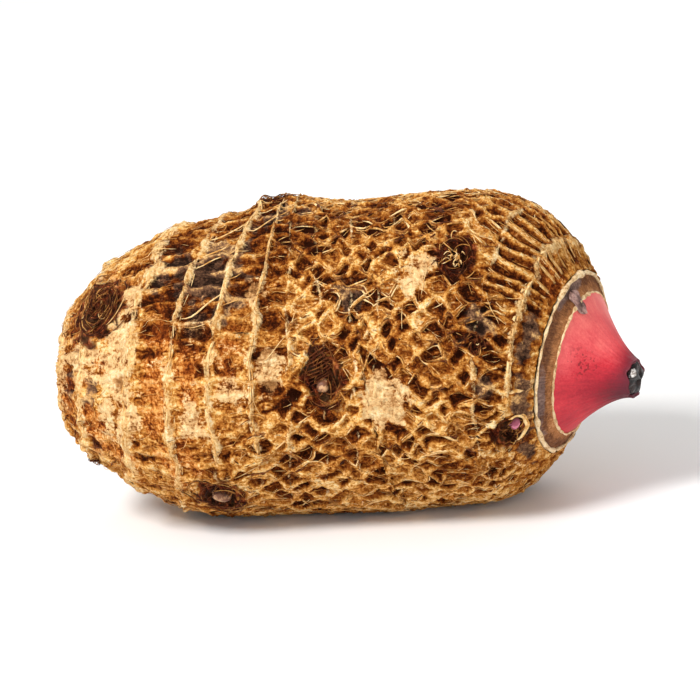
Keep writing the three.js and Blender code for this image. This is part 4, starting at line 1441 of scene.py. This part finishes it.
def stub_finish():
    dried = Finish("dried_sap", Specular_IOR_Level=0.3, Coat_Weight=0.2, Coat_Roughness=0.08)
    mottle = dried.noise(700, 4, 0.6)
    fine = dried.noise(2400, 3, 0.6)
    colour = dried.mix(dried.between(mottle, 0.4, 0.6), linear(14, 8, 8), linear(46, 26, 22))
    # The near-white of the flake is partly a painted highlight.
    pale = dried.mix(dried.between(fine, 0.4, 0.6), linear(236, 230, 224), linear(150, 136, 128))
    flake = dried.uneven(dried.kept("flake"), (mottle, 0.3))
    colour = dried.mix(dried.between(flake, 0.6, 0.75), colour, pale)
    return dried.finish(colour, dried.between(fine, 0.3, 0.7, 0.45, 0.2), dried.bump(mottle, 0.25))


stub.data.materials.append(stub_finish())
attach(stub, "root")
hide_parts("corm")


# ---- The floor, the lights and the camera -----------------------------------------------------
# A sheet of pale card lies under the corm, and soft lamps light it from the upper left, from the
# front and from behind. The camera looks at its side, a little from above and round to the crown.
FLOOR_REACH = 3.0  # metres from here on
floor_mesh = bpy.data.meshes.new("floor")
floor_corners = [(-FLOOR_REACH, -FLOOR_REACH, 0), (FLOOR_REACH, -FLOOR_REACH, 0),
                 (FLOOR_REACH, FLOOR_REACH, 0), (-FLOOR_REACH, FLOOR_REACH, 0)]
floor_mesh.from_pydata(floor_corners, [], [(0, 1, 2, 3)])
floor = bpy.data.objects.new("floor", floor_mesh)
bpy.context.scene.collection.objects.link(floor)
card = Finish("pale_card", roughness=0.9)
card_tint = card.mix(card.between(card.noise(3, 2), 0.3, 0.7), linear(250, 250, 249), linear(246, 246, 246))
floor_mesh.materials.append(card.finish(card_tint))

WORLD_LIGHT = 0.5
LAMP_AIM = (0, 0, 0.027)
world = bpy.data.worlds.new("studio")
world.use_nodes = True
world.node_tree.nodes["Background"].inputs["Color"].default_value = (1.0, 1.0, 1.0, 1.0)
world.node_tree.nodes["Background"].inputs["Strength"].default_value = WORLD_LIGHT
bpy.context.scene.world = world
bpy.context.scene.view_settings.view_transform = "Standard"


def softbox(name, place, size, watts):
    """A square lamp that faces LAMP_AIM."""
    lamp = bpy.data.lights.new(name, "AREA")
    lamp.shape = "SQUARE"
    lamp.size = size
    lamp.energy = watts
    box = bpy.data.objects.new(name, lamp)
    bpy.context.scene.collection.objects.link(box)
    aim = np.array(LAMP_AIM) - np.array(place)
    aim = aim / np.linalg.norm(aim)
    across = np.cross(aim, [0, 0, 1])
    across /= np.linalg.norm(across)
    box.matrix_world = Matrix.Translation(place) @ Matrix(
        np.stack([across, np.cross(across, aim), -aim], 1).tolist()).to_4x4()


softbox("key_lamp", (-0.35, -0.5, 0.7), 0.3, 8.0)
softbox("front_lamp", (0.55, -0.8, 0.35), 0.5, 1.6)
softbox("back_lamp", (0.1, 0.7, 0.6), 0.5, 2.2)

VIEW_TURN = math.radians(12)  # the camera stands this far round towards the crown
VIEW_DROP = math.radians(17)  # and looks down this much
CROWN_RAISED = math.radians(6.3)  # the corm is seen with its crown end raised by this
VIEW_DISTANCE = 0.694
VIEW_AIM = (0.0004, 0.0, 0.0269)
LENS = 208
look = np.array([math.sin(VIEW_TURN) * math.cos(VIEW_DROP), -math.cos(VIEW_TURN) * math.cos(VIEW_DROP),
                 math.sin(VIEW_DROP)])
right = np.array([math.cos(VIEW_TURN), math.sin(VIEW_TURN), 0.0])
raised = np.array([[math.cos(CROWN_RAISED), 0, -math.sin(CROWN_RAISED)], [0, 1, 0],
                   [math.sin(CROWN_RAISED), 0, math.cos(CROWN_RAISED)]])
look = raised.T @ look
right = raised.T @ right
camera_data = bpy.data.cameras.new("camera")
camera_data.lens = LENS
camera = bpy.data.objects.new("camera", camera_data)
bpy.context.scene.collection.objects.link(camera)
camera.matrix_world = Matrix.Translation((np.array(VIEW_AIM) + VIEW_DISTANCE * look).tolist()) @ Matrix(
    np.stack([right, np.cross(look, right), look], 1).tolist()).to_4x4()
bpy.context.scene.camera = camera
